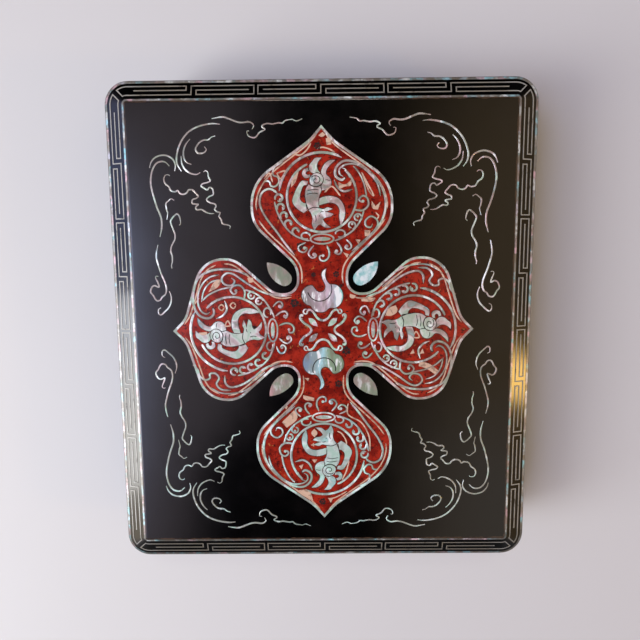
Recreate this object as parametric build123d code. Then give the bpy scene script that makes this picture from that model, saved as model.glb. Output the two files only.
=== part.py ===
from build123d import *
import os
from math import ceil, cos, radians, sin

# A shallow black lacquer box with a lift-off lid inlaid with cut shell, and a lift-out tray.
# The box lies flat with its lid up: X runs across the lid, Y along it, Z up, in millimetres.
# The origin is the middle of the underside. Front is -Y, back is +Y.
os.makedirs("parts", exist_ok=True)

# Box, from the ground up
box_width = 216.0
box_length = 250.0
foot_height = 3.0
foot_width = 6.0
foot_inset = 3.0
body_wall_height = 25.0
body_wall = 6.0
bottom_board = 4.0

# Locating rim inside the body walls, which the lid slides down over
rim_wall = 2.2
rim_stand = 7.0
rim_clearance = 0.3

# Lid
lid_wall_height = 16.2
lid_board = 5.8
bevel_run = 11.0
bevel_drop = 3.3
arris_radius = 1.0

# Lift-out tray
tray_rest_width = 4.0
tray_rest_height = 12.0
tray_wall = 3.0
tray_wall_height = 15.0
tray_board = 2.5
tray_clearance = 0.5
notch_width = 34.0
notch_depth = 7.0
notch_corner = 5.0

# Shell inlay and the red ground of the quatrefoil
shell_proud = 0.15
ground_depth = 0.6

# Border band, as distances in from the lid's outer edge
edge_line_at = 1.0
edge_line_width = 1.1
arris_line_at = 10.2
arris_line_width = 1.0
fret_outer_at = 3.2
fret_middle_at = 5.4
fret_inner_at = 7.7
fret_line = 0.55
fret_pitch = 60.0
fret_hook = 2.5
fret_end_gap = 2.0
fret_mitre_gap = 2.3

# Quatrefoil: its tips lie these margins inside the lid's flat top
tip_margin_x = 19.5
tip_margin_y = 12.0
outline_width = 1.2

# Roundels: one stands in each lobe, and the numbers are the same in all four
ring_radius = 17.2
ring_width = 0.8
outer_arc_radius = 21.4
arc_step = 20.0
ring_open_from = 228.0
ring_open_to = 294.0
outer_arc_from = 242.0
outer_arc_to = 352.0
boss_reach = 20.9
boss_length = 12.4
boss_width = 5.6
boss_line = 0.7
boss_pill_length = 8.0
boss_pill_width = 1.9
oval_step = 36.0
haunch_radius = 3.2
haunch_at = (2.2, -9.2)

# Widths of the cut shell strands
scroll_width = 0.9
fine_scroll_width = 0.65
cloud_width = 0.8
tail_width = 1.3
strand_tip = 0.35

# Heights and radii that follow from the sizes above
seam = foot_height + body_wall_height
board_under = seam + lid_wall_height
lid_top = board_under + lid_board
corner_radius = bevel_run + arris_radius
floor_top = foot_height + bottom_board
rim_top = seam + rim_stand
tray_under = floor_top + tray_rest_height
tray_top = tray_under + tray_wall_height
shell_top = lid_top + shell_proud

# Half sizes that follow from the sizes above
half_x = box_width / 2
half_y = box_length / 2
well_x = half_x - body_wall
well_y = half_y - body_wall
rim_x = well_x - rim_wall
rim_y = well_y - rim_wall
tray_x = rim_x - tray_clearance
tray_y = rim_y - tray_clearance
lid_wall = body_wall - rim_clearance
tip_x = half_x - bevel_run - tip_margin_x
tip_y = half_y - bevel_run - tip_margin_y

# The ornament was drawn for a lid with its tips and roundels at these distances from the middle.
# On another lid the quatrefoil is stretched to fit, and what lies in it keeps its proportions.
drawn_tip_x = 77.5
drawn_tip_y = 102.0
drawn_roundel_x = 46.8
drawn_roundel_y = 67.3
stretch_x = tip_x / drawn_tip_x
stretch_y = tip_y / drawn_tip_y
ornament_scale = min(stretch_x, stretch_y)
roundel_x = drawn_roundel_x * stretch_x
roundel_y = drawn_roundel_y * stretch_y


def save(node, *shapes):
    """Writes one node, which is one solid or a set of separate ones."""
    solids = [solid for shape in shapes for solid in shape.solids()]
    export_step(solids[0] if len(solids) == 1 else Compound(children=solids), f"parts/{node}.step")


def raised(plan, bottom, top):
    """The upright solid over a plan, between two heights."""
    return extrude(Pos(0, 0, bottom) * plan, amount=top - bottom, dir=(0, 0, 1))


def rounded(reach_x, reach_y, inset=0.0):
    """The box's outline, moved inwards, with its corners still concentric."""
    radius = corner_radius - inset
    return RectangleRounded(2 * (reach_x - inset), 2 * (reach_y - inset), radius)


def mitred_strips(reach_x, reach_y, width, outline=None):
    """Plans of the four strips of a frame, mitred at its corners, by side."""
    outer = [(-reach_x, -reach_y), (reach_x, -reach_y), (reach_x, reach_y), (-reach_x, reach_y)]
    inner = [(x - width * (1 if x > 0 else -1), y - width * (1 if y > 0 else -1)) for x, y in outer]
    strips = {}
    for number, side in enumerate(("front", "right", "back", "left")):
        after = (number + 1) % 4
        strip = Polygon(outer[number], outer[after], inner[after], inner[number], align=None)
        strips[side] = strip & outline if outline else strip
    return strips


def save_frame(name, reach_x, reach_y, width, bottom, top, outline=None):
    for side, plan in mitred_strips(reach_x, reach_y, width, outline).items():
        save(f"{name}_{side}", raised(plan, bottom, top))


def slab(reach_x, reach_y, bottom, top):
    return raised(Rectangle(2 * reach_x, 2 * reach_y), bottom, top)


# Body: a bottom board between four walls, on a recessed foot, with the rim standing inside
box_outline = rounded(half_x, half_y)
save_frame("body_wall", half_x, half_y, body_wall, foot_height, seam, box_outline)
save("bottom_board", slab(well_x, well_y, foot_height, floor_top))
save_frame("foot", half_x - foot_inset, half_y - foot_inset, foot_width, 0, foot_height,
           rounded(half_x, half_y, foot_inset))
save_frame("rim", well_x, well_y, rim_wall, floor_top, rim_top)
for side, direction in (("left", -1), ("right", 1)):
    rest = Rectangle(tray_rest_width, 2 * rim_y)
    middle = direction * (rim_x - tray_rest_width / 2)
    save(f"tray_rest_{side}", raised(Pos(middle, 0) * rest, floor_top, tray_under))


# Tray: four mitred walls round a board, with a finger notch in its front and back walls
def finger_notch():
    """The cutter for both notches, rounded at the bottom and open at the top."""
    profile = RectangleRounded(notch_width, 2 * notch_depth, notch_corner)
    return extrude(Plane.XZ * Pos(0, tray_top) * profile, amount=2 * tray_y, both=True)


tray_inner_x = tray_x - tray_wall
tray_inner_y = tray_y - tray_wall
for side, plan in mitred_strips(tray_x, tray_y, tray_wall).items():
    wall = raised(plan, tray_under, tray_top)
    if side in ("front", "back"):
        wall -= finger_notch()
    save(f"tray_wall_{side}", wall)
save("tray_board", slab(tray_inner_x, tray_inner_y, tray_under, tray_under + tray_board))

# Lid: four walls under a bevelled board
save_frame("lid_wall", half_x, half_y, lid_wall, seam, board_under, box_outline)


def bevelled_board(rise=0.0):
    """The lid's board, or the same board moved up, which marks where thin inlay on it ends."""
    board = raised(box_outline, board_under, lid_top)
    flat = board.faces().sort_by(Axis.Z)[-1]
    board = chamfer(flat.edges(), bevel_run, bevel_drop, reference=flat)
    return Pos(0, 0, rise) * board


# Shell cutting: the ways in which a plan of cut shell is drawn
def strand(points, width, start=strand_tip, end=strand_tip):
    """A strand pieced from short straight lengths, mitred where they meet, narrower at its ends."""
    spots = [Vector(*point) for point in points]
    runs = [(after - before).normalized() for before, after in zip(spots, spots[1:])]
    left = []
    right = []
    for number, spot in enumerate(spots):
        run_in = runs[max(number - 1, 0)]
        run_out = runs[min(number, len(runs) - 1)]
        across = (run_in + run_out).normalized().rotate(Axis.Z, 90)
        mitre = 1 / across.dot(run_in.rotate(Axis.Z, 90))
        share = start if number == 0 else end if number == len(spots) - 1 else 1
        aside = across * (width / 2 * mitre * share)
        left.append(spot + aside)
        right.append(spot - aside)
    return make_face(Polyline(*left, *reversed(right), close=True))


def cut_shape(points):
    """A closed plan of arcs, each through three of the points in turn."""
    return make_face([ThreePointArc(*points[number:number + 3]) for number in range(0, len(points) - 2, 2)])


def facets(*points):
    """A plan of cut shell whose edge is pieced from short straight cuts."""
    return make_face(Polyline(*points, close=True))


def arc_points(radius, start, end):
    """Points along an arc about the origin, between two angles, in even steps."""
    steps = ceil((end - start) / arc_step)
    angles = [radians(start + (end - start) * step / steps) for step in range(steps + 1)]
    return [(radius * cos(angle), radius * sin(angle)) for angle in angles]


def oval(length, width, middle):
    """An oval pieced from straight cuts, level from end to end."""
    x, y = middle
    steps = round(360 / oval_step)
    turns = [radians(oval_step * (step + 0.5)) for step in range(steps)]
    return facets(*[(x + length / 2 * cos(turn), y + width / 2 * sin(turn)) for turn in turns])


def mirrored(points):
    """The same points in all four quarters of the lid, stretched to the lid's own size."""
    for turn_x in (1, -1):
        for turn_y in (1, -1):
            yield [(x * turn_x * stretch_x, y * turn_y * stretch_y) for x, y in points]


def bedded(plans):
    """Shell laid flat on the lid's top."""
    return [raised(plan, lid_top, shell_top) for plan in plans]


# Quatrefoil: the corners of one quarter of its edge from the back tip to the right tip, each
# with the radius that rounds it
quarter_corners = [
    (6.1, 95.1, 25), (35.8, 74.5, 21), (35.8, 54.4, 16), (13, 32.3, 12), (13, 19.1, 6.6),
    (24.4, 19.1, 10), (44.6, 37.2, 13), (61.7, 37.2, 15), (71.2, 6.3, 13),
]


def quatrefoil(inset):
    """The whole quatrefoil, with its edge moved inwards."""
    edges = []
    for turn_x in (1, -1):
        for turn_y in (1, -1):
            corners = [(x * stretch_x * turn_x, y * stretch_y * turn_y) for x, y, radius in quarter_corners]
            radii = [radius * ornament_scale for x, y, radius in quarter_corners]
            path = FilletPolyline((0, tip_y * turn_y), *corners, (tip_x * turn_x, 0), radius=radii)
            edges += path.edges()
    whole = make_face(edges)
    return offset(whole, -inset, kind=Kind.INTERSECTION) if inset else whole


field_plan = quatrefoil(outline_width)
outline_plan = quatrefoil(0) - field_plan
save("quatrefoil_field", raised(field_plan, lid_top - ground_depth, lid_top))
save("quatrefoil_outline", raised(outline_plan, lid_top - ground_depth, shell_top))

# Leaf drops, in the four notches of the quatrefoil
drop_edge = [(28.2, 34.8), (20.6, 32.4), (16.2, 28.4), (16, 25), (20, 22.8), (25.2, 26.2), (28.2, 34.8)]
save("leaf_drops", *bedded([cut_shape(points) for points in mirrored(drop_edge)]))

# Corner clouds: thin strands that trail round each corner of the flat
cloud_strands = [
    [(14, 105.4), (27, 103.4), (27.8, 100.6), (32.6, 97.2), (36.8, 98.8), (35.6, 100.6)],
    [(33.6, 101.6), (34.6, 104.2), (41, 104.5), (54, 106.6)],
    [(50, 103.6), (60, 102.8), (69, 96.7), (72.8, 88), (70.5, 81.5)],
    [(74.4, 81.4), (74.6, 86), (80, 89), (85.2, 87.2), (87.4, 83)],
    [(77.6, 83.8), (82, 85.6), (86.8, 79), (86.6, 70), (82.7, 58), (83.8, 49)],
    [(58.8, 80.8), (56, 77), (59.8, 74.4), (54.6, 71.6), (57.2, 67), (51.6, 60), (46.6, 52.7)],
    [(77.2, 78.8), (79.8, 76), (75, 71.4), (65.4, 72), (62, 69), (65, 65.6), (54.3, 60.5)],
    [(73, 59.4), (77.4, 57), (75.6, 50), (78, 42), (78.1, 33)],
    [(85, 45), (86, 38.2), (81.7, 24), (84.6, 17.2), (89.4, 19.6)],
]
cloud_corners = ("back_right", "front_right", "back_left", "front_left")
clouds = {corner: [] for corner in cloud_corners}
for points in cloud_strands:
    for corner, placed in zip(cloud_corners, mirrored(points)):
        clouds[corner].append(strand(placed, cloud_width))
for corner, plans in clouds.items():
    save(f"corner_cloud_{corner}", *bedded(plans))

# Roundels: drawn for the front lobe with the beast upright and the ring's middle at the origin
roundels = {
    "front": Pos(0, -roundel_y),
    "right": Pos(roundel_x, 0) * Rot(0, 0, 90),
    "back": Pos(0, roundel_y) * Rot(0, 0, 180),
    "left": Pos(-roundel_x, 0) * Rot(0, 0, 270),
}


def in_roundel(side, plan):
    """A plan in the lobe of one side, at the size that fits the lid."""
    return roundels[side] * scale(plan, by=ornament_scale)


def in_roundels(plan):
    """The same plan in all four lobes."""
    return [in_roundel(side, plan) for side in roundels]


ring_plan = strand(arc_points(ring_radius, ring_open_to, ring_open_from + 360), ring_width)
outer_arc_plan = strand(arc_points(outer_arc_radius, outer_arc_from, outer_arc_to), ring_width)
save("roundel_rings", *bedded(in_roundels(ring_plan)))
save("roundel_outer_arcs", *bedded(in_roundels(outer_arc_plan)))

boss_at = (0, boss_reach)
boss_hole = oval(boss_length - 2 * boss_line, boss_width - 2 * boss_line, boss_at)
boss_rim = oval(boss_length, boss_width, boss_at) - boss_hole
save("boss_rims", *bedded(in_roundels(boss_rim)))
save("boss_pills", *bedded(in_roundels(oval(boss_pill_length, boss_pill_width, boss_at))))

# Beast: a rampant beast facing left, cut as eight plates of shell that nearly touch
beast = {
    "heads": facets(
        (3.8, 15.4), (4.8, 12.8), (4.4, 10.4), (5.2, 7.8), (6.8, 6.2), (3.8, 4.5), (0.8, 4.7),
        (-3, 4.9), (-5.4, 6.9), (-2.8, 6.6), (-0.8, 7.2), (-2.8, 8.1), (-4.2, 9.7), (-1.4, 10.2),
        (0.2, 11.9), (-1.4, 13.3), (-3.6, 14.8), (-0.6, 14.3), (1.6, 12.6), (2.4, 14.2)),
    "trunks": facets(
        (0.8, 4.3), (3.8, 4.1), (6.9, 5.8), (8, 2.6), (8.5, -1.2), (8, -4.6), (7, -7.3), (5, -5.8),
        (2.4, -5.3), (-0.8, -6.6), (0.6, -4.2), (0.9, -1.6), (0.5, 1.4)),
    "forelegs": facets(
        (7.5, 6.4), (10.8, 6.2), (13.4, 4.4), (15.2, 1.8), (14.8, -2.8), (13.2, -7), (11.4, -8.2),
        (9.2, -7.9), (11.2, -5.4), (12.2, -2.4), (12, 0.4), (10.6, 1.9), (8.9, 2.5)),
    "near_legs": facets(
        (2.2, -13), (3.6, -15), (3.3, -17.6), (1.2, -19.9), (4.4, -19.3), (6.1, -17), (6.1, -14.2),
        (5.1, -12), (3.8, -12.9)),
    "far_legs": facets(
        (-1, -7.3), (-3.2, -6.5), (-4.6, -8.4), (-3, -11.5), (-1.4, -13.6), (-2.2, -16), (-5.6, -19),
        (-1.6, -18.6), (0.7, -16.4), (1.2, -13.2), (-0.8, -11.9), (-1.7, -9.6)),
    "haunches": oval(2 * haunch_radius, 2 * haunch_radius, haunch_at),
    "tails": strand([(6.3, -9.1), (8.6, -10), (9.1, -12), (7.8, -13.4), (6.9, -12.4)], tail_width, start=1),
    "manes": facets(
        (-0.4, 2), (-4, 0.9), (-7.4, 1.8), (-9.5, 4.8), (-9.6, 9), (-8.2, 13.2), (-10.8, 10.2),
        (-11.4, 5.6), (-9.6, 1.2), (-5.6, -1.3), (-0.4, -0.4)),
}
for plate, plan in beast.items():
    save(f"beast_{plate}", *bedded(in_roundels(plan)))

# Scrolls of a lobe: the wing that curls into the roundel, and the lines that rise to the neck
wing = [(-31.2, 5.5), (-31.4, 0), (-28.4, -7.2), (-21.6, -14), (-14, -17.3), (-8.6, -15.9),
        (-6.8, -11.6), (-9.2, -8.2), (-12.4, -9.8)]
brow = [(-15.5, -3.5), (-11.2, -2.4), (-7.8, -4.6), (-6.2, -8.2)]
long_neck = [
    [(-15, 27), (-21, 21.8), (-25.6, 17.4), (-27.2, 13), (-24.6, 10.4), (-22.2, 12.6), (-23.8, 14.8)],
    [(14, 29), (20.6, 20.8), (27.6, 11), (31, 3), (29.4, -3), (25, -4.2)],
]
side_neck = [
    [(-17.2, 24.5), (-19.4, 16.5), (-24.2, 8.2), (-28.6, 1.6), (-29.4, -2.4), (-26.6, -4.6), (-24.2, -2)],
    [(17, 24.5), (19.6, 16.5), (24.4, 10.4), (28.2, 3.4), (27.4, -2.2), (23.6, -3.4)],
]
necks = {"front": long_neck, "right": side_neck, "back": long_neck, "left": side_neck}
save("lobe_wings", *bedded(in_roundels(strand(wing, scroll_width))))
save("lobe_brows", *bedded(in_roundels(strand(brow, fine_scroll_width))))
neck_plans = [in_roundel(side, strand(line, fine_scroll_width)) for side in roundels for line in necks[side]]
save("neck_lines", *bedded(neck_plans))

# Middle of the lid: two flames, one the other turned half round, and crossed scrolls
flame = facets(
    (2, 31.5), (0.2, 30.2), (-0.4, 28.6), (-0.1, 26.8), (0.6, 25), (1.5, 22.6), (0.9, 20.4), (-0.9, 19.4),
    (-2.9, 20), (-4.2, 21.6), (-5.4, 22.9), (-8, 22.3), (-10, 20.4), (-10.7, 17.6), (-9.6, 14.6),
    (-8.2, 13.3), (-6.3, 12.6), (-4.6, 10.4), (-1.7, 9.2), (1.2, 9.6), (3.4, 11.3), (6.6, 11.5),
    (9.1, 13.4), (10.3, 16.4), (10.1, 19.4), (8.6, 21.9), (6.4, 23.2), (3.6, 23.6), (1.9, 25.7),
    (1.3, 28.6))
flame = scale(flame, by=ornament_scale)
save("flame_back", *bedded([flame]))
save("flame_front", *bedded([Rot(0, 0, 180) * flame]))

middle_scroll = [(-8.4, 8.9), (-7.2, 10.6), (-5, 9.6), (-2.6, 6.2), (0, 5.1), (2.6, 6.2), (5, 9.6),
                 (7.2, 10.6), (8.4, 8.9)]
side_scroll = [(-10, 8), (-11.6, 6.6), (-9.8, 3.9), (-6.9, 1.9), (-5.8, 0), (-6.9, -1.9),
               (-9.8, -3.9), (-11.6, -6.6), (-10, -8)]
middle_plans = [scale(strand(points, scroll_width), by=ornament_scale)
                for points in (middle_scroll, side_scroll)]
save("middle_scrolls", *bedded(middle_plans + [Rot(0, 0, 180) * plan for plan in middle_plans]))

petal_edge = [(7.4, 6.2), (5, 5.8), (3.4, 4), (2.6, 1.8), (5, 2.4), (6.8, 4)]
save("middle_petals", *bedded([facets(*points) for points in mirrored(petal_edge)]))

# Lid board, bevelled all round, with the quatrefoil let into it
board = bevelled_board()
save("lid_board", board - raised(quatrefoil(0), lid_top - ground_depth, shell_top))

# Border on the bevel: what is laid there keeps an even thickness over the slope
raised_board = bevelled_board(shell_proud)


def on_bevel(plan):
    """Shell of even height laid on the sloping band, cut to a plan."""
    return (raised(plan, board_under, shell_top) & raised_board) - board


def band(reach_x, reach_y, middle_at, width):
    """A closed line round the lid at a distance in from its edge."""
    outer = rounded(reach_x, reach_y, middle_at - width / 2)
    return outer - rounded(reach_x, reach_y, middle_at + width / 2)


save("border_edge_line", on_bevel(band(half_x, half_y, edge_line_at, edge_line_width)))
save("border_arris_line", on_bevel(band(half_x, half_y, arris_line_at, arris_line_width)))


def fret(reach_along, reach_out):
    """The fret of the back side: pairs of keys that face each other, each pair one unbroken line."""
    outer = reach_out - fret_outer_at
    middle = reach_out - fret_middle_at
    inner = reach_out - fret_inner_at
    straight = reach_along - corner_radius
    pairs = round(2 * straight / fret_pitch)
    pitch = 2 * straight / pairs
    corner = fret_corner(reach_along, reach_out)
    plans = []
    for pair in range(pairs):
        turn = -straight + (pair + 0.5) * pitch
        left = turn - pitch / 2 + fret_end_gap / 2
        right = turn + pitch / 2 - fret_end_gap / 2
        paths = [[(left + fret_hook, middle), (turn - fret_hook, middle), (turn - fret_hook, outer)]]
        if pair == 0:
            paths[-1].append((-straight, outer))
            paths.append([(-straight, inner)])
        else:
            paths[-1] += [(left, outer), (left, inner)]
        paths[-1] += [(turn, inner), (turn, outer)]
        if pair == pairs - 1:
            paths[-1].append((straight, outer))
            paths.append([(straight, inner)])
        else:
            paths[-1] += [(right, outer), (right, inner)]
        paths[-1] += [(turn + fret_hook, inner), (turn + fret_hook, middle), (right - fret_hook, middle)]
        pieces = [strand(path, fret_line, start=1, end=1) for path in paths]
        pieces += [mirror(corner, Plane.YZ)] if pair == 0 else []
        pieces += [corner] if pair == pairs - 1 else []
        plans.append(Sketch() + pieces)
    return plans


def fret_corner(reach_along, reach_out):
    """The right end of a fret, where its two outer lines follow the rounded corner to the mitre."""
    lines = band(reach_along, reach_out, fret_outer_at, fret_line)
    lines += band(reach_along, reach_out, fret_inner_at, fret_line)
    whole = band(reach_along, reach_out, (fret_outer_at + fret_inner_at) / 2,
                 fret_inner_at - fret_outer_at + fret_line)
    start = (reach_along - corner_radius, reach_out - corner_radius)
    back_off = fret_mitre_gap / 2 * 2 ** 0.5
    step = fret_line * 2 ** 0.5
    tip = (reach_along - back_off, reach_out)
    foot = (start[0] - back_off, start[1])
    zone = Polygon((start[0], reach_out), tip, foot, start, align=None)
    closing = Polygon(tip, foot, (foot[0] - step, foot[1]), (tip[0] - step, tip[1]), align=None)
    return (lines + (whole & closing)) & zone


x_fret = fret(half_x, half_y)
y_fret = fret(half_y, half_x)
for turns, side in enumerate(("back", "right", "front", "left")):
    plans = y_fret if turns % 2 else x_fret
    save(f"fret_{side}", *[on_bevel(Rot(0, 0, -90 * turns) * plan) for plan in plans])
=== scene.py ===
"""Dresses the lacquer box: its lacquer skins, its cut shell inlay and the studio round it."""

from math import cos, pi, radians, sin

import bmesh
import bpy
from mathutils import Matrix, Vector
from mathutils.geometry import tessellate_polygon


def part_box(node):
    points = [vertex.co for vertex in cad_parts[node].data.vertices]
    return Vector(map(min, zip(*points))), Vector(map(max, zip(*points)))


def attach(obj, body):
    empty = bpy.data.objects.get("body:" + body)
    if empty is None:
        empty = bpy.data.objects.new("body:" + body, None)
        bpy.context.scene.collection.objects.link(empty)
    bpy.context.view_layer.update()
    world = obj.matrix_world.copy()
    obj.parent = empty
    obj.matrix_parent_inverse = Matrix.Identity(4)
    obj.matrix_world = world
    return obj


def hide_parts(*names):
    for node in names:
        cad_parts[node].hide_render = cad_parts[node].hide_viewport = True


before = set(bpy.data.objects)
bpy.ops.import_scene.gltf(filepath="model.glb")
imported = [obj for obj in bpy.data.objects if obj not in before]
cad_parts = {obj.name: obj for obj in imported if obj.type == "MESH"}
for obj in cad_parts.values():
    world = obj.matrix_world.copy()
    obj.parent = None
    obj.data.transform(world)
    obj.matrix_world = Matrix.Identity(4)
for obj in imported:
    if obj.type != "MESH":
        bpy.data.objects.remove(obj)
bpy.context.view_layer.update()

bl_info = {
    "name": "Inlaid Lacquer Box",
    "version": (1, 0, 0),
    "blender": (4, 5, 0),
    "location": "View3D > Sidebar > Lacquer Box",
    "description": "Lacquer, cut shell inlay and studio for the lidded lacquer box",
    "category": "Object",
}

MM = 0.001

# Places that the frame gives. An inset is measured from the lid's outer face.
LID_LOW, LID_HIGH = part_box("lid_board")
CAVITY_TOP = LID_LOW[2]
LID_TOP = LID_HIGH[2]
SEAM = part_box("lid_wall_front")[0][2]
FOOT_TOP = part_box("foot_front")[1][2]
RIM_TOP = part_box("rim_right")[1][2]
FLOOR_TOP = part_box("bottom_board")[1][2]
FLOOR_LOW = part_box("bottom_board")[0][2]
SHELL_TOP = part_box("quatrefoil_outline")[1][2]
WALL_INSET = LID_HIGH[0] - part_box("body_wall_right")[0][0]
LID_WALL_INSET = LID_HIGH[0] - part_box("lid_wall_right")[0][0]
FOOT_INSET = LID_HIGH[0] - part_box("foot_right")[1][0]
FOOT_INNER = LID_HIGH[0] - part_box("foot_right")[0][0]
RIM_INSET = LID_HIGH[0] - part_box("rim_right")[0][0]

# The skins: where the flat faces that close them start, and how finely their corners are made
SKIN_MIDDLE = LID_HIGH[0] - 20 * MM
SMALLEST_CORNER = 0.4 * MM
CORNER_STEPS = 10
ARRIS_SHARES = (0.0, 0.25, 0.5, 0.75, 1.0)
ARRIS_SUPPORT = 0.5 * MM

# The materials of a skin, by their slots in its mesh
POLISHED = 0
SATIN = 1

# The ornament is drawn in millimetres on a lid whose quatrefoil has its tips here
DRAWN_TIP_X = 77.5
DRAWN_TIP_Y = 102.0
SCALE_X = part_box("quatrefoil_outline")[1][0] / DRAWN_TIP_X
SCALE_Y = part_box("quatrefoil_outline")[1][1] / DRAWN_TIP_Y
ORNAMENT = min(SCALE_X, SCALE_Y)

# Heights of the inlay: laid a little into the lacquer, and polished almost flush with it
COAT_SINK = 0.03 * MM
INLAY_FOOT = LID_TOP - 0.10 * MM
PLATE_TOP = SHELL_TOP - 0.05 * MM
FILLING_TOP = PLATE_TOP - 0.02 * MM
ENGRAVED_TOP = SHELL_TOP - 0.005 * MM
JOINT_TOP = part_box("quatrefoil_field")[1][2] + 0.02 * MM

# Distances from the lid's middle between which a look changes: the tints of the shell, the two flames,
# the pink tip of a drop, the painted shade on the lines of the border, and the fret's painted shade and
# painted light
TINT_FRONT = (0.030, 0.062)
TINT_BACK = (0.030, 0.070)
TINT_RIGHT = (0.020, 0.050)
TINT_LEFT = (0.028, 0.050)
BETWEEN_FLAMES = (-0.001, 0.001)
DROP_TIP_X = (0.0245, 0.028)
DROP_TIP_Y = (0.026, 0.033)
BORDER_END = (LID_HIGH[1] - 20 * MM, LID_HIGH[1] - 13 * MM)
BORDER_SIDE = (LID_HIGH[0] - 18 * MM, LID_HIGH[0] - 10 * MM)
FRET_END = (LID_HIGH[1] - 17 * MM, LID_HIGH[1] - 12 * MM)
FRET_SIDE = (LID_HIGH[0] - 20 * MM, LID_HIGH[0] - 12 * MM)

# Heights on the bevel, between its outer line and its inner one
BEVEL_HEIGHTS = (LID_TOP - 3.5 * MM, LID_TOP - 1.5 * MM)

# How tightly the flames' bands follow each other across the lid, and their colours from left to right
FLAME_BANDS_PER_METRE = 45.0
BACK_FLAME_BANDS = [(0.05, (0.18, 0.18, 0.17)), (0.34, (0.36, 0.28, 0.30)), (0.58, (0.66, 0.50, 0.58)),
                    (0.74, (0.44, 0.40, 0.46)), (0.90, (0.30, 0.60, 0.57))]
FRONT_FLAME_BANDS = [(0.05, (0.20, 0.27, 0.38)), (0.30, (0.28, 0.36, 0.36)), (0.48, (0.40, 0.66, 0.72)),
                     (0.64, (0.25, 0.36, 0.24)), (0.92, (0.20, 0.27, 0.17))]

# Colours that the settings don't hold
HAZY_BLACK = (0.0024, 0.0019, 0.0019)
BRUSHED_BLACK = (0.022, 0.019, 0.018)
SPECK_BLACK = (0.012, 0.008, 0.008)
COOL_SHELL = (0.34, 0.44, 0.42)
# Painted highlight on the shell
PAINTED_SHELL_GLINT = (0.94, 0.97, 0.96)
SHELL_FLECK = (0.13, 0.12, 0.10)
# Painted shade on the border's lines
PAINTED_SHADE_ON_BORDER = (0.030, 0.028, 0.024)
# Painted highlight on the flames
PAINTED_FLAME_GLINT = (0.95, 0.95, 0.95)
DROP_GREEN = (0.22, 0.26, 0.18)
DROP_BROWN = (0.29, 0.235, 0.20)
DROP_BLUE = (0.24, 0.52, 0.52)
DROP_WHITE = (0.66, 0.74, 0.76)
DROP_PINK = (0.62, 0.26, 0.30)
DROP_SHADE = (0.13, 0.13, 0.11)
# The fret where it is gone under the lacquer, and painted shade on it at the front
LOST_FRET_AND_PAINTED_SHADE = (0.070, 0.060, 0.048)
CREAM_BROWN = (0.50, 0.30, 0.20)
CREAM_CRACK = (0.18, 0.10, 0.07)
ENGRAVING_DARK = (0.006, 0.005, 0.005)
JOINT_DARK = (0.040, 0.006, 0.004)
FLOOR_CLOUD = (0.5, 0.49, 0.48)

# Degrees between the points of a curl, and points for each drawn one of a smooth outline
CURL_STEP = 24.0
OUTLINE_STEPS = 5

# How much wider a joint is than the shell over it, and how wide the line is that stands for a plate's edge
JOINT_WIDENING = 0.55
EDGE_WIDTH = 0.1

# The four lobes: quarter turns that bring the upright drawing there, and where its ring stands
DRAWN_ROUNDEL_X = 46.8
DRAWN_ROUNDEL_Y = 67.3
LOBES = {
    "front": (0, 0, -DRAWN_ROUNDEL_Y),
    "right": (1, DRAWN_ROUNDEL_X, 0),
    "back": (2, 0, DRAWN_ROUNDEL_Y),
    "left": (3, -DRAWN_ROUNDEL_X, 0),
}

# Sockets of a Mix node that are for colours
MIX_FACTOR = 0
MIX_COLOURS = (6, 7)
MIX_RESULT = 2

# The stretch of a pattern that is left as it is
EVEN = (1.0, 1.0, 1.0)


# Node trees and shader maths

class Field:
    """A number that varies over a surface or along a line. Arithmetic on it adds Math nodes to its tree."""

    def __init__(self, tree, socket):
        self.tree = tree
        self.socket = socket

    def maths(self, operation, *values):
        node = self.tree.nodes.new("ShaderNodeMath")
        node.operation = operation
        for socket, value in zip(node.inputs, values):
            if isinstance(value, Field):
                self.tree.links.new(value.socket, socket)
            else:
                socket.default_value = value
        return Field(self.tree, node.outputs[0])

    def __add__(self, other):
        return self.maths("ADD", self, other)

    __radd__ = __add__

    def __sub__(self, other):
        return self.maths("SUBTRACT", self, other)

    def __rsub__(self, other):
        return self.maths("SUBTRACT", other, self)

    def __mul__(self, other):
        return self.maths("MULTIPLY", self, other)

    __rmul__ = __mul__

    def __neg__(self):
        return self.maths("MULTIPLY", self, -1.0)

    def least(self, other):
        return self.maths("MINIMUM", self, other)

    def most(self, other):
        return self.maths("MAXIMUM", self, other)


class Tree:
    """A node tree in the making, whose nodes come from one method."""

    def __init__(self, tree):
        self.tree = tree

    def node(self, kind, settings=None, sockets=None):
        """Any node: its settings first, with a ramp's stops, and then its sockets' values and links."""
        node = self.tree.nodes.new(kind)
        for name, value in (settings or {}).items():
            if name == "stops":
                self.set_stops(node.color_ramp, value)
            else:
                setattr(node, name, value)
        for name, value in (sockets or {}).items():
            self.feed(node.inputs[name], value)
        return node

    def set_stops(self, ramp, stops):
        while len(ramp.elements) < len(stops):
            ramp.elements.new(1.0)
        for element, (position, colour) in zip(ramp.elements, stops):
            element.position = position
            element.color = (*colour, 1.0)

    def feed(self, socket, value):
        if isinstance(value, Field):
            self.tree.links.new(value.socket, socket)
        elif isinstance(value, bpy.types.NodeSocket):
            self.tree.links.new(value, socket)
        else:
            socket.default_value = value

    def field(self, node, output=0):
        return Field(self.tree, node.outputs[output])


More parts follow.
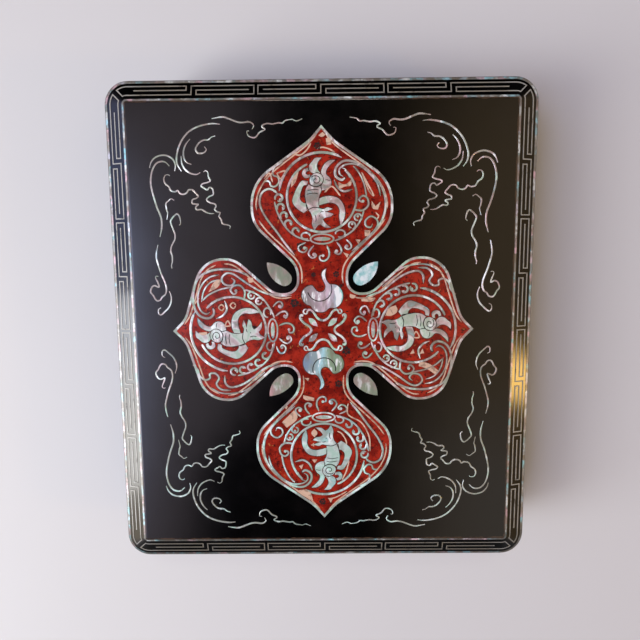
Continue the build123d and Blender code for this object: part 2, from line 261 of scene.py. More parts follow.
class Finish(Tree):
    """The tree of a material or of the world, with the patterns that its look needs."""

    def __init__(self, holder):
        holder.use_nodes = True
        super().__init__(holder.node_tree)

    def place(self, stretch=EVEN, turn=0.0):
        """Where a point of the surface lies, in metres, for a pattern stretched or turned about Z."""
        coordinates = self.node("ShaderNodeTexCoord").outputs["Object"]
        sockets = {"Vector": coordinates, "Scale": stretch, "Rotation": (0.0, 0.0, turn)}
        return self.node("ShaderNodeMapping", None, sockets).outputs[0]

    def axes(self, vector):
        """The three parts of a vector, as fields."""
        split = self.node("ShaderNodeSeparateXYZ", None, {0: vector})
        return [self.field(split, axis) for axis in range(3)]

    def noise(self, size, detail=3.0, roughness=0.5, stretch=EVEN, turn=0.0, distortion=0.0):
        """Cloudy noise from 0 to 1 whose features are about as large as the size, in metres."""
        sockets = {"Vector": self.place(stretch, turn), "Scale": 1.0 / size, "Detail": detail,
                   "Roughness": roughness, "Distortion": distortion}
        return self.field(self.node("ShaderNodeTexNoise", None, sockets))

    def cells(self, size, output="Color"):
        """Cells of about the size, in metres: a random number for each, or the distance to its middle."""
        node = self.node("ShaderNodeTexVoronoi", None, {"Vector": self.place(), "Scale": 1.0 / size})
        if output == "Distance":
            return self.field(node, "Distance")
        return self.field(self.node("ShaderNodeSeparateColor", None, {0: node.outputs["Color"]}))

    def rise(self, value, low, high):
        """0 where the value is under low, 1 where it is over high, and smooth between."""
        settings = {"interpolation_type": "SMOOTHSTEP"}
        sockets = {"Value": value, "From Min": low, "From Max": high}
        return self.field(self.node("ShaderNodeMapRange", settings, sockets))

    def blend(self, factor, first, second):
        """The first colour where the factor is 0, the second where it is 1."""
        node = self.node("ShaderNodeMix", {"data_type": "RGBA"}, {MIX_FACTOR: factor})
        for number, colour in zip(MIX_COLOURS, (first, second)):
            linked = isinstance(colour, bpy.types.NodeSocket)
            self.feed(node.inputs[number], colour if linked else (*colour, 1.0))
        return node.outputs[MIX_RESULT]

    def ramp(self, value, stops):
        return self.node("ShaderNodeValToRGB", {"stops": stops}, {0: value}).outputs[0]

    def bump(self, height, distance):
        """A normal for relief of the given depth, in metres."""
        return self.node("ShaderNodeBump", None, {"Height": height, "Distance": distance}).outputs[0]


class Coat(Finish):
    """A material: a Finish that ends in one shader, whose constants are set on its own sockets."""

    def __init__(self, name, constants):
        self.material = bpy.data.materials.new(name)
        super().__init__(self.material)
        self.shader = self.tree.nodes["Principled BSDF"]
        for socket, value in constants.items():
            self.shader.inputs[socket].default_value = value

    def paint(self, channels):
        for socket, value in channels.items():
            self.feed(self.shader.inputs[socket], value)
        return self.material


# Materials. A function that takes only the settings makes the material that has its name.

def material_of(make):
    """The material that a function makes, made the first time it is asked for."""
    return bpy.data.materials.get(make.__name__) or make(bpy.context.scene.lacquer_colours)


def polished_black(settings):
    """Polished black lacquer, hazy in places, rubbed through to the brown undercoat at its arrises."""
    coat = Coat("polished_black", {"IOR": 1.52})
    haze = coat.noise(0.030, detail=4.0, roughness=0.6)
    dust = coat.noise(0.0012, detail=2.0)
    scratches = coat.noise(0.0016, detail=2.0, stretch=(1.0, 0.04, 1.0), turn=0.5)
    waviness = coat.noise(0.045, detail=1.0)
    colour = coat.blend(coat.rise(haze, 0.44, 0.66), settings.black, HAZY_BLACK)
    wear = coat.field(coat.node("ShaderNodeAttribute", {"attribute_name": "wear"}), "Fac")
    rubbed = coat.rise(wear * 0.55 + coat.noise(0.004, detail=5.0, roughness=0.65), 0.82, 1.0)
    colour = coat.blend(rubbed, colour, settings.undercoat)
    roughness = settings.gloss_roughness + 0.08 * haze + 0.03 * dust
    relief = waviness + 0.012 * scratches + 0.006 * dust
    return coat.paint({"Base Color": colour, "Roughness": roughness, "Normal": coat.bump(relief, 0.00022)})


def satin_black(settings):
    """Satin black lacquer of the tray and of the inside of box and lid, brushed and not polished."""
    coat = Coat("satin_black", {"IOR": 1.5})
    brushed = coat.noise(0.0025, detail=3.0, stretch=(0.08, 1.0, 1.0))
    cloud = coat.noise(0.025, detail=3.0)
    colour = coat.blend(cloud, settings.black, BRUSHED_BLACK)
    roughness = 0.42 + 0.12 * cloud + 0.06 * brushed
    return coat.paint({"Base Color": colour, "Roughness": roughness, "Normal": coat.bump(brushed, 0.00003)})


def vermilion(settings):
    """Vermilion lacquer, mottled darker, with black specks and a few ochre flecks."""
    coat = Coat("vermilion", {"IOR": 1.38})
    cloud = coat.noise(0.007, detail=6.0, roughness=0.7)
    mottle = coat.noise(0.0017, detail=3.0, roughness=0.6)
    colour = coat.blend(coat.rise(cloud, 0.38, 0.62), settings.dark_red, settings.red)
    colour = coat.blend(coat.rise(mottle, 0.54, 0.68), colour, settings.deep_red)
    flecks = coat.rise(coat.noise(0.0026, detail=2.0, distortion=0.8), 0.68, 0.74)
    colour = coat.blend(flecks * 0.75, colour, settings.ochre)
    specks = coat.rise(coat.noise(0.0021, detail=3.0, distortion=1.2), 0.68, 0.72)
    colour = coat.blend(specks, colour, SPECK_BLACK)
    roughness = 0.12 + 0.10 * cloud
    return coat.paint({"Base Color": colour, "Roughness": roughness, "Normal": coat.bump(mottle, 0.00004)})


def shell_coat(name, clear_roughness):
    """A coat for polished shell, with a clear layer of the given roughness over it."""
    return Coat(name, {"IOR": 1.55, "Coat IOR": 1.5, "Coat Roughness": clear_roughness})


def pearl(coat, settings, hue, dull):
    """Mother of pearl, silver white to pink, green and blue by its hue, and dull beige in places, with a
    painted highlight in streaks where it isn't dull.
    """
    drift = coat.noise(0.016, detail=2.0)
    shimmer = coat.noise(0.0022, detail=4.0, roughness=0.6, distortion=1.5)
    streaks = coat.noise(0.0030, detail=2.0, stretch=(1.0, 0.25, 1.0), turn=0.6)
    stops = [(0.0, settings.shell_white), (0.26, settings.shell_green), (0.42, settings.shell_white),
             (0.58, settings.shell_pink), (0.74, settings.shell_grey), (0.9, settings.shell_blue)]
    colour = coat.ramp(0.55 * hue + 0.75 * drift - 0.18 + 0.30 * (shimmer - 0.5), stops)
    x, y = coat.axes(coat.place())[:2]
    sway = 0.05 * (drift - 0.5)
    front = coat.rise(sway - y, *TINT_FRONT)
    colour = coat.blend(front * 0.52, colour, settings.shell_mint)
    warm = coat.rise(sway + y, *TINT_BACK).most(coat.rise(sway + x, *TINT_RIGHT))
    colour = coat.blend(warm * 0.34, colour, settings.shell_warm)
    cool = coat.rise(sway - x, *TINT_LEFT)
    colour = coat.blend(cool * 0.30, colour, COOL_SHELL)
    turned = 1 - coat.rise(coat.noise(0.009, detail=4.0, roughness=0.6), 0.46, 0.60)
    colour = coat.blend(turned * dull, colour, settings.shell_dull)
    # Painted highlight: streaks of near white where the shell isn't dull
    painted_glint = coat.rise(streaks, 0.57, 0.66) * (1 - turned)
    colour = coat.blend(painted_glint * 0.90, colour, PAINTED_SHELL_GLINT)
    dark = coat.rise(shimmer, 0.58, 0.76)
    colour = coat.blend(dark * 0.5, colour, SHELL_FLECK)
    growth = coat.noise(0.0011, detail=2.0, stretch=(1.0, 0.22, 1.0), turn=0.6)
    return coat.paint({"Base Color": colour, "Roughness": 0.26 + 0.16 * shimmer,
                       "Metallic": 0.10 + 0.18 * hue, "Coat Weight": 0.6 - 0.2 * shimmer,
                       "Normal": coat.bump(growth, 0.00004)})


def cut_shell(settings):
    """Mother of pearl laid in short lengths, each of its own hue."""
    coat = shell_coat("cut_shell", 0.12)
    return pearl(coat, settings, coat.cells(0.0052), 0.62)


def beast_shell(settings):
    """Mother of pearl in soft clouds, brighter than the rest."""
    coat = shell_coat("beast_shell", 0.12)
    hue = coat.rise(coat.noise(0.0085, detail=1.5, distortion=0.7), 0.32, 0.68)
    return pearl(coat, settings, hue, 0.35)


def border_shell(settings):
    """The border's lines: shell in short lengths, dull in patches of wear, with painted shade that is patchy
    at the front, the back and the right, and strongest on the outer line at the front.
    """
    coat = shell_coat("border_shell", 0.14)
    hue = coat.cells(0.0042)
    wear_and_shade_patches = coat.noise(0.004, detail=5.0, roughness=0.65)
    stops = [(0.0, settings.shell_white), (0.3, settings.shell_grey), (0.5, settings.shell_pink),
             (0.7, settings.shell_blue), (0.9, settings.shell_grey)]
    colour = coat.ramp(hue, stops)
    colour = coat.blend(coat.rise(wear_and_shade_patches, 0.42, 0.58) * 0.8, colour, settings.shell_dull)
    x, y, z = coat.axes(coat.place())
    front = coat.rise(-y, *BORDER_END)
    right = coat.rise(x, *BORDER_SIDE)
    back = coat.rise(y, *BORDER_END)
    outer = 1 - coat.rise(z, *BEVEL_HEIGHTS)
    patchy = coat.rise(wear_and_shade_patches, 0.28, 0.46)
    # Painted shade: patchy towards the front, the back and the right, and strongest on the outer line at the
    # front
    shade = (front * 0.72).most(right * 0.12).most(back * 0.35) * patchy
    shade = shade.most(front * outer * 0.97).most(back * outer * patchy * 0.50)
    colour = coat.blend(shade, colour, PAINTED_SHADE_ON_BORDER)
    return coat.paint({"Base Color": colour, "Roughness": 0.28 + 0.2 * wear_and_shade_patches, "Metallic": 0.15 * hue,
                       "Coat Weight": 0.4 - 0.2 * wear_and_shade_patches, "Normal": coat.bump(wear_and_shade_patches, 0.00003)})


def flame_shell(settings):
    """The two flames in broad soft bands, the back one pink white, the front one bluer and greener, with
    painted highlights along their streaks.
    """
    coat = shell_coat("flame_shell", 0.10)
    cloud = coat.noise(0.006, detail=3.0, roughness=0.6)
    streaks = coat.noise(0.0026, detail=3.0, stretch=(1.0, 0.3, 1.0), turn=0.9)
    x, y = coat.axes(coat.place())[:2]
    across = x * FLAME_BANDS_PER_METRE + 0.5 + 0.5 * (cloud - 0.5)
    front = coat.ramp(across, FRONT_FLAME_BANDS)
    back = coat.ramp(across, BACK_FLAME_BANDS)
    colour = coat.blend(coat.rise(y, *BETWEEN_FLAMES), front, back)
    # Painted highlights: the streaks lightened to white and their brightest parts to near white; duller
    # beige between them
    colour = coat.blend(coat.rise(streaks, 0.52, 0.68) * 0.5, colour, settings.shell_white)
    colour = coat.blend(coat.rise(streaks, 0.57, 0.63) * 0.75, colour, PAINTED_FLAME_GLINT)
    colour = coat.blend(coat.rise(1 - streaks, 0.52, 0.66) * 0.55, colour, settings.shell_dull)
    return coat.paint({"Base Color": colour, "Roughness": 0.24 + 0.16 * cloud, "Metallic": 0.2 * cloud,
                       "Coat Weight": 0.7 - 0.2 * streaks, "Normal": coat.bump(streaks, 0.00004)})


def drop_shell(settings):
    """The four drops: grey green in soft bands, the back right one blue white, with pink at one tip."""
    coat = shell_coat("drop_shell", 0.12)
    cloud = coat.noise(0.005, detail=4.0, roughness=0.6)
    bands = coat.noise(0.0030, detail=4.0, roughness=0.6, stretch=(1.0, 0.35, 1.0), turn=0.7)
    colour = coat.blend(coat.rise(cloud, 0.40, 0.60), DROP_GREEN, DROP_BROWN)
    x, y = coat.axes(coat.place())[:2]
    bright = coat.rise(x, 0.0, 0.01) * coat.rise(y, 0.0, 0.01)
    pale = coat.blend(coat.rise(cloud, 0.40, 0.60), DROP_BLUE, DROP_WHITE)
    colour = coat.blend(bright, colour, pale)
    pink = coat.rise(-x, *DROP_TIP_X) * coat.rise(-y, *DROP_TIP_Y)
    colour = coat.blend(pink * 0.6, colour, DROP_PINK)
    colour = coat.blend(coat.rise(bands, 0.50, 0.66) * 0.45, colour, settings.shell_white)
    colour = coat.blend(coat.rise(1 - bands, 0.50, 0.66) * 0.35, colour, DROP_SHADE)
    return coat.paint({"Base Color": colour, "Roughness": 0.26 + 0.16 * cloud, "Metallic": 0.12 * cloud,
                       "Coat Weight": 0.6 - 0.2 * bands, "Normal": coat.bump(bands, 0.00004)})


def fret_shell(settings):
    """Fine lines of shell, duller and more beige, gone here and there under the lacquer, with painted shade
    towards the front and painted light on the bevels at the left and right.
    """
    coat = Coat("fret_shell", {"IOR": 1.5})
    patch = coat.cells(0.006)
    wear = coat.noise(0.005, detail=4.0, roughness=0.65)
    colour = coat.blend(patch * 0.7, settings.line, settings.shell_grey)
    x, y = coat.axes(coat.place())[:2]
    # Darker where the fret is gone under the lacquer, and painted shade towards the front
    lost_and_painted_shade = coat.rise(wear, 0.56, 0.70).most(coat.rise(-y, *FRET_END) * 0.45)
    colour = coat.blend(lost_and_painted_shade, colour, LOST_FRET_AND_PAINTED_SHADE)
    # Painted light: lighter on the bevels at the left and right
    painted_light_sides = coat.rise(x, *FRET_SIDE).most(coat.rise(-x, *FRET_SIDE)) * (1 - lost_and_painted_shade)
    colour = coat.blend(painted_light_sides * 0.16, colour, settings.shell_white)
    return coat.paint({"Base Color": colour, "Roughness": 0.34 + 0.2 * wear, "Metallic": 0.15 * patch,
                       "Normal": coat.bump(wear, 0.00003)})


def cream_shell(settings):
    """Cream filling of cut shell, matter than the rest, with fine cracks."""
    coat = Coat("cream_shell", {"IOR": 1.5})
    cloud = coat.noise(0.003, detail=4.0)
    cracks = coat.rise(coat.cells(0.0024, output="Distance"), 0.62, 0.75)
    colour = coat.blend(cloud, settings.cream, CREAM_BROWN)
    colour = coat.blend(cracks * 0.6, colour, CREAM_CRACK)
    roughness = 0.35 + 0.15 * cloud
    return coat.paint({"Base Color": colour, "Roughness": roughness, "Normal": coat.bump(cloud, 0.00003)})


def engraving_black(settings):
    """Black lacquer rubbed into engraved lines and flowers."""
    coat = Coat("engraving_black", {"IOR": 1.25})
    grain = coat.noise(0.0008, detail=2.0)
    colour = coat.blend(grain, ENGRAVING_DARK, settings.engraving)
    return coat.paint({"Base Color": colour, "Roughness": 0.35 + 0.2 * grain})


def joint_brown(settings):
    """Dark brown lacquer that fills the joint between the cut shell and the red."""
    coat = Coat("joint_brown", {"IOR": 1.4})
    grain = coat.noise(0.0015, detail=3.0)
    colour = coat.blend(grain, JOINT_DARK, settings.joint)
    return coat.paint({"Base Color": colour, "Roughness": 0.3 + 0.2 * grain})


# Making meshes

def drawn(point):
    """A point of the lid's drawing, from millimetres to its place in the frame."""
    return point[0] * SCALE_X, point[1] * SCALE_Y


def in_lobe(lobe, point):
    """A point of the upright drawing of a lobe, brought to its place in that lobe."""
    quarters, middle_x, middle_y = LOBES[lobe]
    x, y = point
    for _ in range(quarters):
        x, y = -y, x
    return middle_x * SCALE_X + x * ORNAMENT, middle_y * SCALE_Y + y * ORNAMENT


def in_each_lobe(points):
    """Points of the upright drawing, brought to each of the four lobes."""
    return [[in_lobe(lobe, point) for point in points] for lobe in LOBES]


def lines_in_lobes(lines):
    """Lines of the upright drawing, each with its width, brought to all four lobes."""
    return [(width, [in_lobe(lobe, point) for point in points])
            for lobe in LOBES for width, points in lines]


def in_middle(point):
    """A point of the drawing of the lid's middle, brought to its place in the frame."""
    return point[0] * ORNAMENT, point[1] * ORNAMENT


def four_corners(points, shifts=None):
    """A line drawn in the back right quarter of the lid, and its mirrored copies with their shifts."""
    copies = []
    for side_x in (1, -1):
        for side_y in (1, -1):
            inwards, outer_inwards, frontwards = (shifts or {}).get((side_x, side_y), (0.0, 0.0, 0.0))
            copy = []
            for x, y in points:
                outer = min(max((x - OUTER_CLOUDS_START) / OUTER_CLOUDS_RAMP, 0.0), 1.0)
                moved = side_x * (x - inwards - outer * outer_inwards)
                copy.append(drawn((moved, side_y * y - frontwards)))
            copies.append(copy)
    return copies


def arc(radius, start, end, middle=(0.0, 0.0), step=8.0, wide=1.0, high=1.0):
    """Points along an arc between two angles in degrees, stretched where it belongs to an oval."""
    count = max(2, round(abs(end - start) / step))
    turns = [radians(start + (end - start) * index / count) for index in range(count + 1)]
    return [(middle[0] + radius * wide * cos(turn), middle[1] + radius * high * sin(turn))
            for turn in turns]


def disc(radius, middle, corners=12):
    """A small round outline with that many corners."""
    step = 360 / corners
    return arc(radius, 0, 360 - step, middle, step)


def curl(middle, radius, start, turns, tightness=0.55):
    """Points of a small spiral that starts at its rim and winds in, clockwise for negative turns."""
    count = max(6, round(abs(turns) * 360 / CURL_STEP))
    points = []
    for index in range(count + 1):
        share = index / count
        reach = radius * (1 - tightness * share)
        angle = radians(start) + 2 * pi * turns * share
        points.append((middle[0] + reach * cos(angle), middle[1] + reach * sin(angle)))
    return points


def smooth_outline(points, corner=62.0):
    """A closed outline through the points, curved except where it turns by more than the corner's angle."""
    count = len(points)
    places = [Vector(point) for point in points]
    headings = []
    for index, place in enumerate(places):
        before = place - places[index - 1]
        after = places[(index + 1) % count] - place
        sharp = before.angle(after) > radians(corner)
        headings.append(None if sharp else (before.normalized() + after.normalized()).normalized())
    outline = []
    for index, place in enumerate(places):
        beyond = places[(index + 1) % count]
        reach = (beyond - place).length / 3
        straight = (beyond - place).normalized()
        first = place + reach * (headings[index] or straight)
        second = beyond - reach * (headings[(index + 1) % count] or straight)
        for step in range(OUTLINE_STEPS):
            share = step / OUTLINE_STEPS
            rest = 1 - share
            spot = (place * rest ** 3 + first * 3 * rest ** 2 * share
                    + second * 3 * rest * share ** 2 + beyond * share ** 3)
            outline.append((spot.x, spot.y))
    return outline


def mesh_object(name, mesh, *materials):
    """A finished piece at the origin, in the scene."""
    for material in materials:
        mesh.materials.append(material)
    piece = bpy.data.objects.new(name, mesh)
    bpy.context.scene.collection.objects.link(piece)
    return piece


def built(name, work, *materials):
    """A piece from its bmesh, with its faces turned outwards."""
    bmesh.ops.recalc_face_normals(work, faces=work.faces)
    mesh = bpy.data.meshes.new(name)
    work.to_mesh(mesh)
    work.free()
    return mesh_object(name, mesh, *materials)


def plates(name, outlines, material, top=PLATE_TOP):
    """Flat plates of even height. Each outline is a list of closed loops: its edge, then its holes."""
    work = bmesh.new()
    for loops in outlines:
        flat = [[Vector((x, y, 0.0)) for x, y in loop] for loop in loops]
        spots = [spot for loop in flat for spot in loop]
        upper = [work.verts.new((spot.x, spot.y, top)) for spot in spots]
        lower = [work.verts.new((spot.x, spot.y, INLAY_FOOT)) for spot in spots]
        for corners in tessellate_polygon(flat):
            work.faces.new([upper[corner] for corner in corners])
            work.faces.new([lower[corner] for corner in reversed(corners)])
        start = 0
        for loop in loops:
            for index in range(len(loop)):
                here = start + index
                there = start + (index + 1) % len(loop)
                work.faces.new((upper[here], upper[there], lower[there], lower[here]))
            start += len(loop)
    return built(name, work, material)


# The inputs of the strands' tree, and how wide a strand's top is for its foot
STRAND_INPUTS = {"Lines": "NodeSocketGeometry", "Height": "NodeSocketFloat", "Spacing": "NodeSocketFloat",
                 "Taper": "NodeSocketFloat", "Tip": "NodeSocketFloat", "Material": "NodeSocketMaterial"}
STRAND_TOP_SHARE = 0.86


def strand_tree():
    """Geometry nodes that turn lines into flat cut strands, whose ends run out to a tip."""
    group = bpy.data.node_groups.new("cut_strand", "GeometryNodeTree")
    group.interface.new_socket("Geometry", in_out="OUTPUT", socket_type="NodeSocketGeometry")
    for name, kind in STRAND_INPUTS.items():
        group.interface.new_socket(name, in_out="INPUT", socket_type=kind)
    tree = Tree(group)
    given = tree.node("NodeGroupInput").outputs
    curved = tree.node("GeometryNodeCurveSplineType", {"spline_type": "CATMULL_ROM"},
                       {"Curve": given["Lines"]})
    even = tree.node("GeometryNodeResampleCurve", {"mode": "LENGTH"},
                     {"Curve": curved.outputs[0], "Length": given["Spacing"]})
    level = tree.node("GeometryNodeSetCurveNormal", {"mode": "Z_UP"}, {"Curve": even.outputs[0]})

    along = tree.field(tree.node("GeometryNodeSplineParameter"), "Length")
    whole = tree.field(tree.node("GeometryNodeSplineLength"), "Length")
    nearer = along.least(whole - along)
    share = tree.field(tree.node("ShaderNodeMapRange", {"interpolation_type": "SMOOTHERSTEP"},
                                 {"Value": nearer, "From Max": given["Taper"], "To Min": given["Tip"]}))
    width = tree.field(tree.node("GeometryNodeInputNamedAttribute", {"data_type": "FLOAT"},
                                 {"Name": "radius"}), "Attribute")

    section = tree.node("GeometryNodeCurvePrimitiveQuadrilateral", {"mode": "TRAPEZOID"},
                        {"Bottom Width": 1.0, "Top Width": STRAND_TOP_SHARE, "Height": given["Height"]})
    solid = tree.node("GeometryNodeCurveToMesh", None,
                      {"Curve": level.outputs[0], "Profile Curve": section.outputs[0],
                       "Scale": share * width, "Fill Caps": True})
    faceted = tree.node("GeometryNodeSetShadeSmooth", None,
                        {"Geometry": solid.outputs[0], "Shade Smooth": False})
    made = tree.node("GeometryNodeRealizeInstances", None, {0: faceted.outputs[0]})
    covered = tree.node("GeometryNodeSetMaterial", None,
                        {"Geometry": made.outputs[0], "Material": given["Material"]})
    tree.node("NodeGroupOutput", None, {0: covered.outputs[0]})
    return group


def strands(name, lines, material, taper=3.0, tip=0.35, top=PLATE_TOP, spacing=0.4):
    """Cut strands along lines, each a width and its points. Width, taper and spacing are in millimetres."""
    route = bpy.data.curves.new(name + "_lines", "CURVE")
    route.dimensions = "3D"
    height = (top - INLAY_FOOT) / (min(width for width, points in lines) * ORNAMENT)
    for width, points in lines:
        middle = top - height * width * ORNAMENT / 2
        spline = route.splines.new("POLY")
        spline.points.add(len(points) - 1)
        for spot, (x, y) in zip(spline.points, points):
            spot.co = (x, y, middle, 1.0)
            spot.radius = width * ORNAMENT
    holder = bpy.data.objects.new(name + "_lines", route)
    bpy.context.scene.collection.objects.link(holder)
    modifier = holder.modifiers.new("strands", "NODES")
    modifier.node_group = bpy.data.node_groups.get("cut_strand") or strand_tree()
    values = {"Height": height, "Spacing": spacing * MM, "Taper": taper * MM, "Tip": tip,
              "Material": material}
    for item in modifier.node_group.interface.items_tree:
        if item.in_out == "INPUT" and item.name in values:
            modifier[item.identifier] = values[item.name]
    seen = holder.evaluated_get(bpy.context.evaluated_depsgraph_get())
    mesh = bpy.data.meshes.new_from_object(seen)
    mesh.name = name
    bpy.data.objects.remove(holder)
    bpy.data.curves.remove(route)
    if not mesh.polygons:
        raise RuntimeError(f"{name}: the strands came out empty")
    return mesh_object(name, mesh)


def joints(name, lines):
    """Dark joint lines, a little wider than the shell that lies over them."""
    wider = [(width + JOINT_WIDENING, points) for width, points in lines]
    brown = material_of(joint_brown)
    finish(strands(name, wider, brown, taper=1.5, tip=0.6, top=JOINT_TOP), "lid", "black_lacquer")


def rounded_loop(inset, height, corner):
    """Points round the box at an inset from its outer face."""
    reach_x = LID_HIGH[0] - inset
    reach_y = LID_HIGH[1] - inset
    radius = max(corner - inset, SMALLEST_CORNER)
    points = []
    for quarter, (side_x, side_y) in enumerate(((1, 1), (-1, 1), (-1, -1), (1, -1))):
        for step in range(CORNER_STEPS + 1):
            turn = (quarter + step / CORNER_STEPS) * pi / 2
            x = side_x * (reach_x - radius) + radius * cos(turn)
            y = side_y * (reach_y - radius) + radius * sin(turn)
            points.append((x, y, height))
    return points


def softened(profile):
    """A wall's profile of (inset, height, radius) with its arrises rounded, and the wear at each point."""
    rounded = [(Vector(profile[0][:2]), 0.0)]
    for before, corner, after in zip(profile, profile[1:], profile[2:]):
        place = Vector(corner[:2])
        radius = corner[2]
        back = (Vector(before[:2]) - place).normalized()
        ahead = (Vector(after[:2]) - place).normalized()
        start = place + back * radius
        end = place + ahead * radius
        rounded.append((place + back * (radius + ARRIS_SUPPORT), 0.0))
        for share in ARRIS_SHARES:
            rest = 1 - share
            spot = start * rest ** 2 + place * 2 * rest * share + end * share ** 2
            wear = 1 - abs(2 * share - 1) / 2
            rounded.append((spot, wear))
        rounded.append((place + ahead * (radius + ARRIS_SUPPORT), 0.0))
    rounded.append((Vector(profile[-1][:2]), 0.0))
    return rounded


def skin(name, profile, corner, inner_arrises):
    """A closed hollow skin along a wall's profile, satin as far as its inner arrises, then polished."""
    work = bmesh.new()
    wear_layer = work.verts.layers.float.new("wear")
    rows = []
    for place, wear in softened(profile):
        row = [work.verts.new(spot) for spot in rounded_loop(place.x, place.y, corner)]
        for vertex in row:
            vertex[wear_layer] = wear
        rows.append(row)
    size = len(rows[0])
    points_at_arris = len(ARRIS_SHARES) + 2
    outer_row = 1 + points_at_arris * inner_arrises
    for number, (row, following) in enumerate(zip(rows, rows[1:])):
        for index in range(size):
            beyond = (index + 1) % size
            face = work.faces.new((row[index], row[beyond], following[beyond], following[index]))
            face.material_index = POLISHED if number >= outer_row else SATIN
    work.faces.new(list(reversed(rows[0]))).material_index = SATIN
    work.faces.new(rows[-1]).material_index = POLISHED
    for face in work.faces:
        face.smooth = True
    return built(name, work, material_of(polished_black), material_of(satin_black))


def finish(piece, body, slot, *replaced):
    """Says what the piece rides on, and which of the model's nodes it stands for. Its slot is not used."""
    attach(piece, body)
    if replaced:
        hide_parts(*replaced)


def paint_node(node, material):
    """Gives a node of the model its material."""
    piece = bpy.data.objects[node]
    piece.data.materials.clear()
    piece.data.materials.append(material)


# Drawings of the inlay, in millimetres

# Clouds of the back right corner, each with its width, and the share of that width to which it is cut
CLOUD_SLIMNESS = 0.9
CLOUD_LINES = [
    (0.48, [(14, 105.6), (17.5, 105), (19, 103.8), (21, 103.9), (24, 103.4), (27, 103.6), (29.2, 102.4),
            (27.6, 100.9), (30.3, 99.5), (32.8, 97), (36, 97.8), (36.8, 100.1), (35.6, 100.4)]),
    (0.65, [(34.2, 101.2), (33.4, 103), (35.5, 104.5), (39, 104.2), (42, 104.7), (46, 106.3), (49, 107),
            (54, 106.3)]),
    (0.65, [(50, 103.6), (54, 103.9), (60, 102.8), (65, 100.5), (69, 96.7), (71.5, 92.5), (72.8, 88),
            (72.5, 84.5), (70.4, 81.3)]),
    (0.58, [(52.5, 98), (54.3, 97.5), (56, 96.2), (58, 96.1), (60, 95.2), (61.8, 93.2), (62.3, 91.5),
            (61, 90), (58.5, 90.2), (57.2, 91.6), (58.2, 93)]),
    (0.61, [(65, 96.7), (67.3, 94.2), (68.7, 91), (68.6, 87.8), (67.2, 85.6), (64.8, 84.6)]),
    (0.58, [(70.3, 88.7), (69.9, 85), (68, 82), (65, 80.2), (62.5, 79.7), (60.6, 80.6)]),
    (0.61, [(74.4, 81.4), (73.9, 84.2), (75.2, 87), (78, 88.6), (81, 89), (84.3, 88), (86.5, 85.8),
            (87.5, 83)]),
    (0.65, [(77.3, 83.8), (79.3, 85.6), (81.5, 86), (84, 85), (86, 82), (87, 78), (87, 74), (86, 69),
            (84.6, 64), (82.9, 59.4), (82.5, 56.5), (82.7, 53.2), (83.8, 49)]),
    (0.49, [(59, 80.9), (57.8, 81.5), (56.7, 80.7), (56.4, 78.5), (55.5, 76.5), (57, 75.6), (59.4, 75),
            (60.2, 74), (58.8, 73), (57.3, 72.2), (56.3, 73.3), (54.7, 72.8), (54.2, 71), (54.4, 69.5),
            (56.5, 68.6), (57.7, 67.2), (56, 65.8), (53.7, 65.2), (53, 64), (53.8, 62.5), (52.6, 61.3),
            (51.1, 60.8), (51.7, 59), (50.7, 57.5), (50, 55.4), (47.6, 54.7), (46.2, 54), (46.6, 52.7)]),
    (0.53, [(77.2, 79), (78.2, 79.6), (79.8, 79.2), (80.5, 77.3), (79.8, 75.3), (78, 74), (76.7, 71.9),
            (74.5, 71.4), (72.9, 72), (71.8, 70.6), (70, 70.1), (68, 70.8), (66.8, 72.2), (64.6, 72.2),
            (63, 70.5), (61.8, 69), (63, 67.9), (64.8, 67.2), (65, 65.6), (63, 65.2), (61.9, 64.9),
            (63.3, 63.6), (62.7, 62.4), (60.5, 62.5), (57.9, 61), (56, 60.4), (54.3, 60.5)]),
    (0.49, [(75.4, 67), (77, 67.8), (78.6, 66.7), (80, 65.3), (79.6, 62.3), (79.2, 60.9), (79.9, 57.5)]),
    (0.54, [(73.1, 54.8), (72.2, 55.7), (72.6, 58.6), (73.75, 60.2), (75.2, 59.6), (77.1, 57.75),
            (77.7, 56.3), (76.7, 53.4), (75.5, 50.25), (75.8, 47.5), (77.5, 44.8), (78.3, 42.3),
            (77.6, 39.4), (77.7, 36.5), (78.3, 34.8), (78.1, 33)]),
    (0.56, [(85, 45), (85.8, 41.5), (86, 38.2), (85.2, 34.8), (84, 30.7), (82.1, 25.7), (81.6, 22.3),
            (82.3, 19.8), (84, 18.4), (85, 16.9), (86.7, 16.5), (87.8, 17.5), (88.75, 19.4), (90, 21.1),
            (89.2, 23.6), (87.7, 24.5), (85.6, 23.7), (86, 25.7), (87.1, 28.4), (86.5, 29.3), (85.6, 29.1)]),
    (0.54, [(80.2, 21.5), (79.25, 18.6), (79.5, 15.7), (80.8, 13), (82.9, 10.9), (85, 9.2), (86.3, 10),
            (86.3, 12.1), (85, 13)]),
]

# How far the clouds of a corner stand further in, the outer ones besides, and further to the front.
# The outer ones are those past the start, and have their whole shift where the ramp ends.
CLOUD_SHIFTS = {(-1, 1): (0.0, 1.7, 0.8), (-1, -1): (1.8, 0.9, 0.8)}
OUTER_CLOUDS_START = 66
OUTER_CLOUDS_RAMP = 14

# The tip that all corners but the back right one have
CLOUD_TIP_WIDTH = 0.42
CLOUD_TIP = [(14, 105.6), (12, 104.9), (9.4, 105.9)]

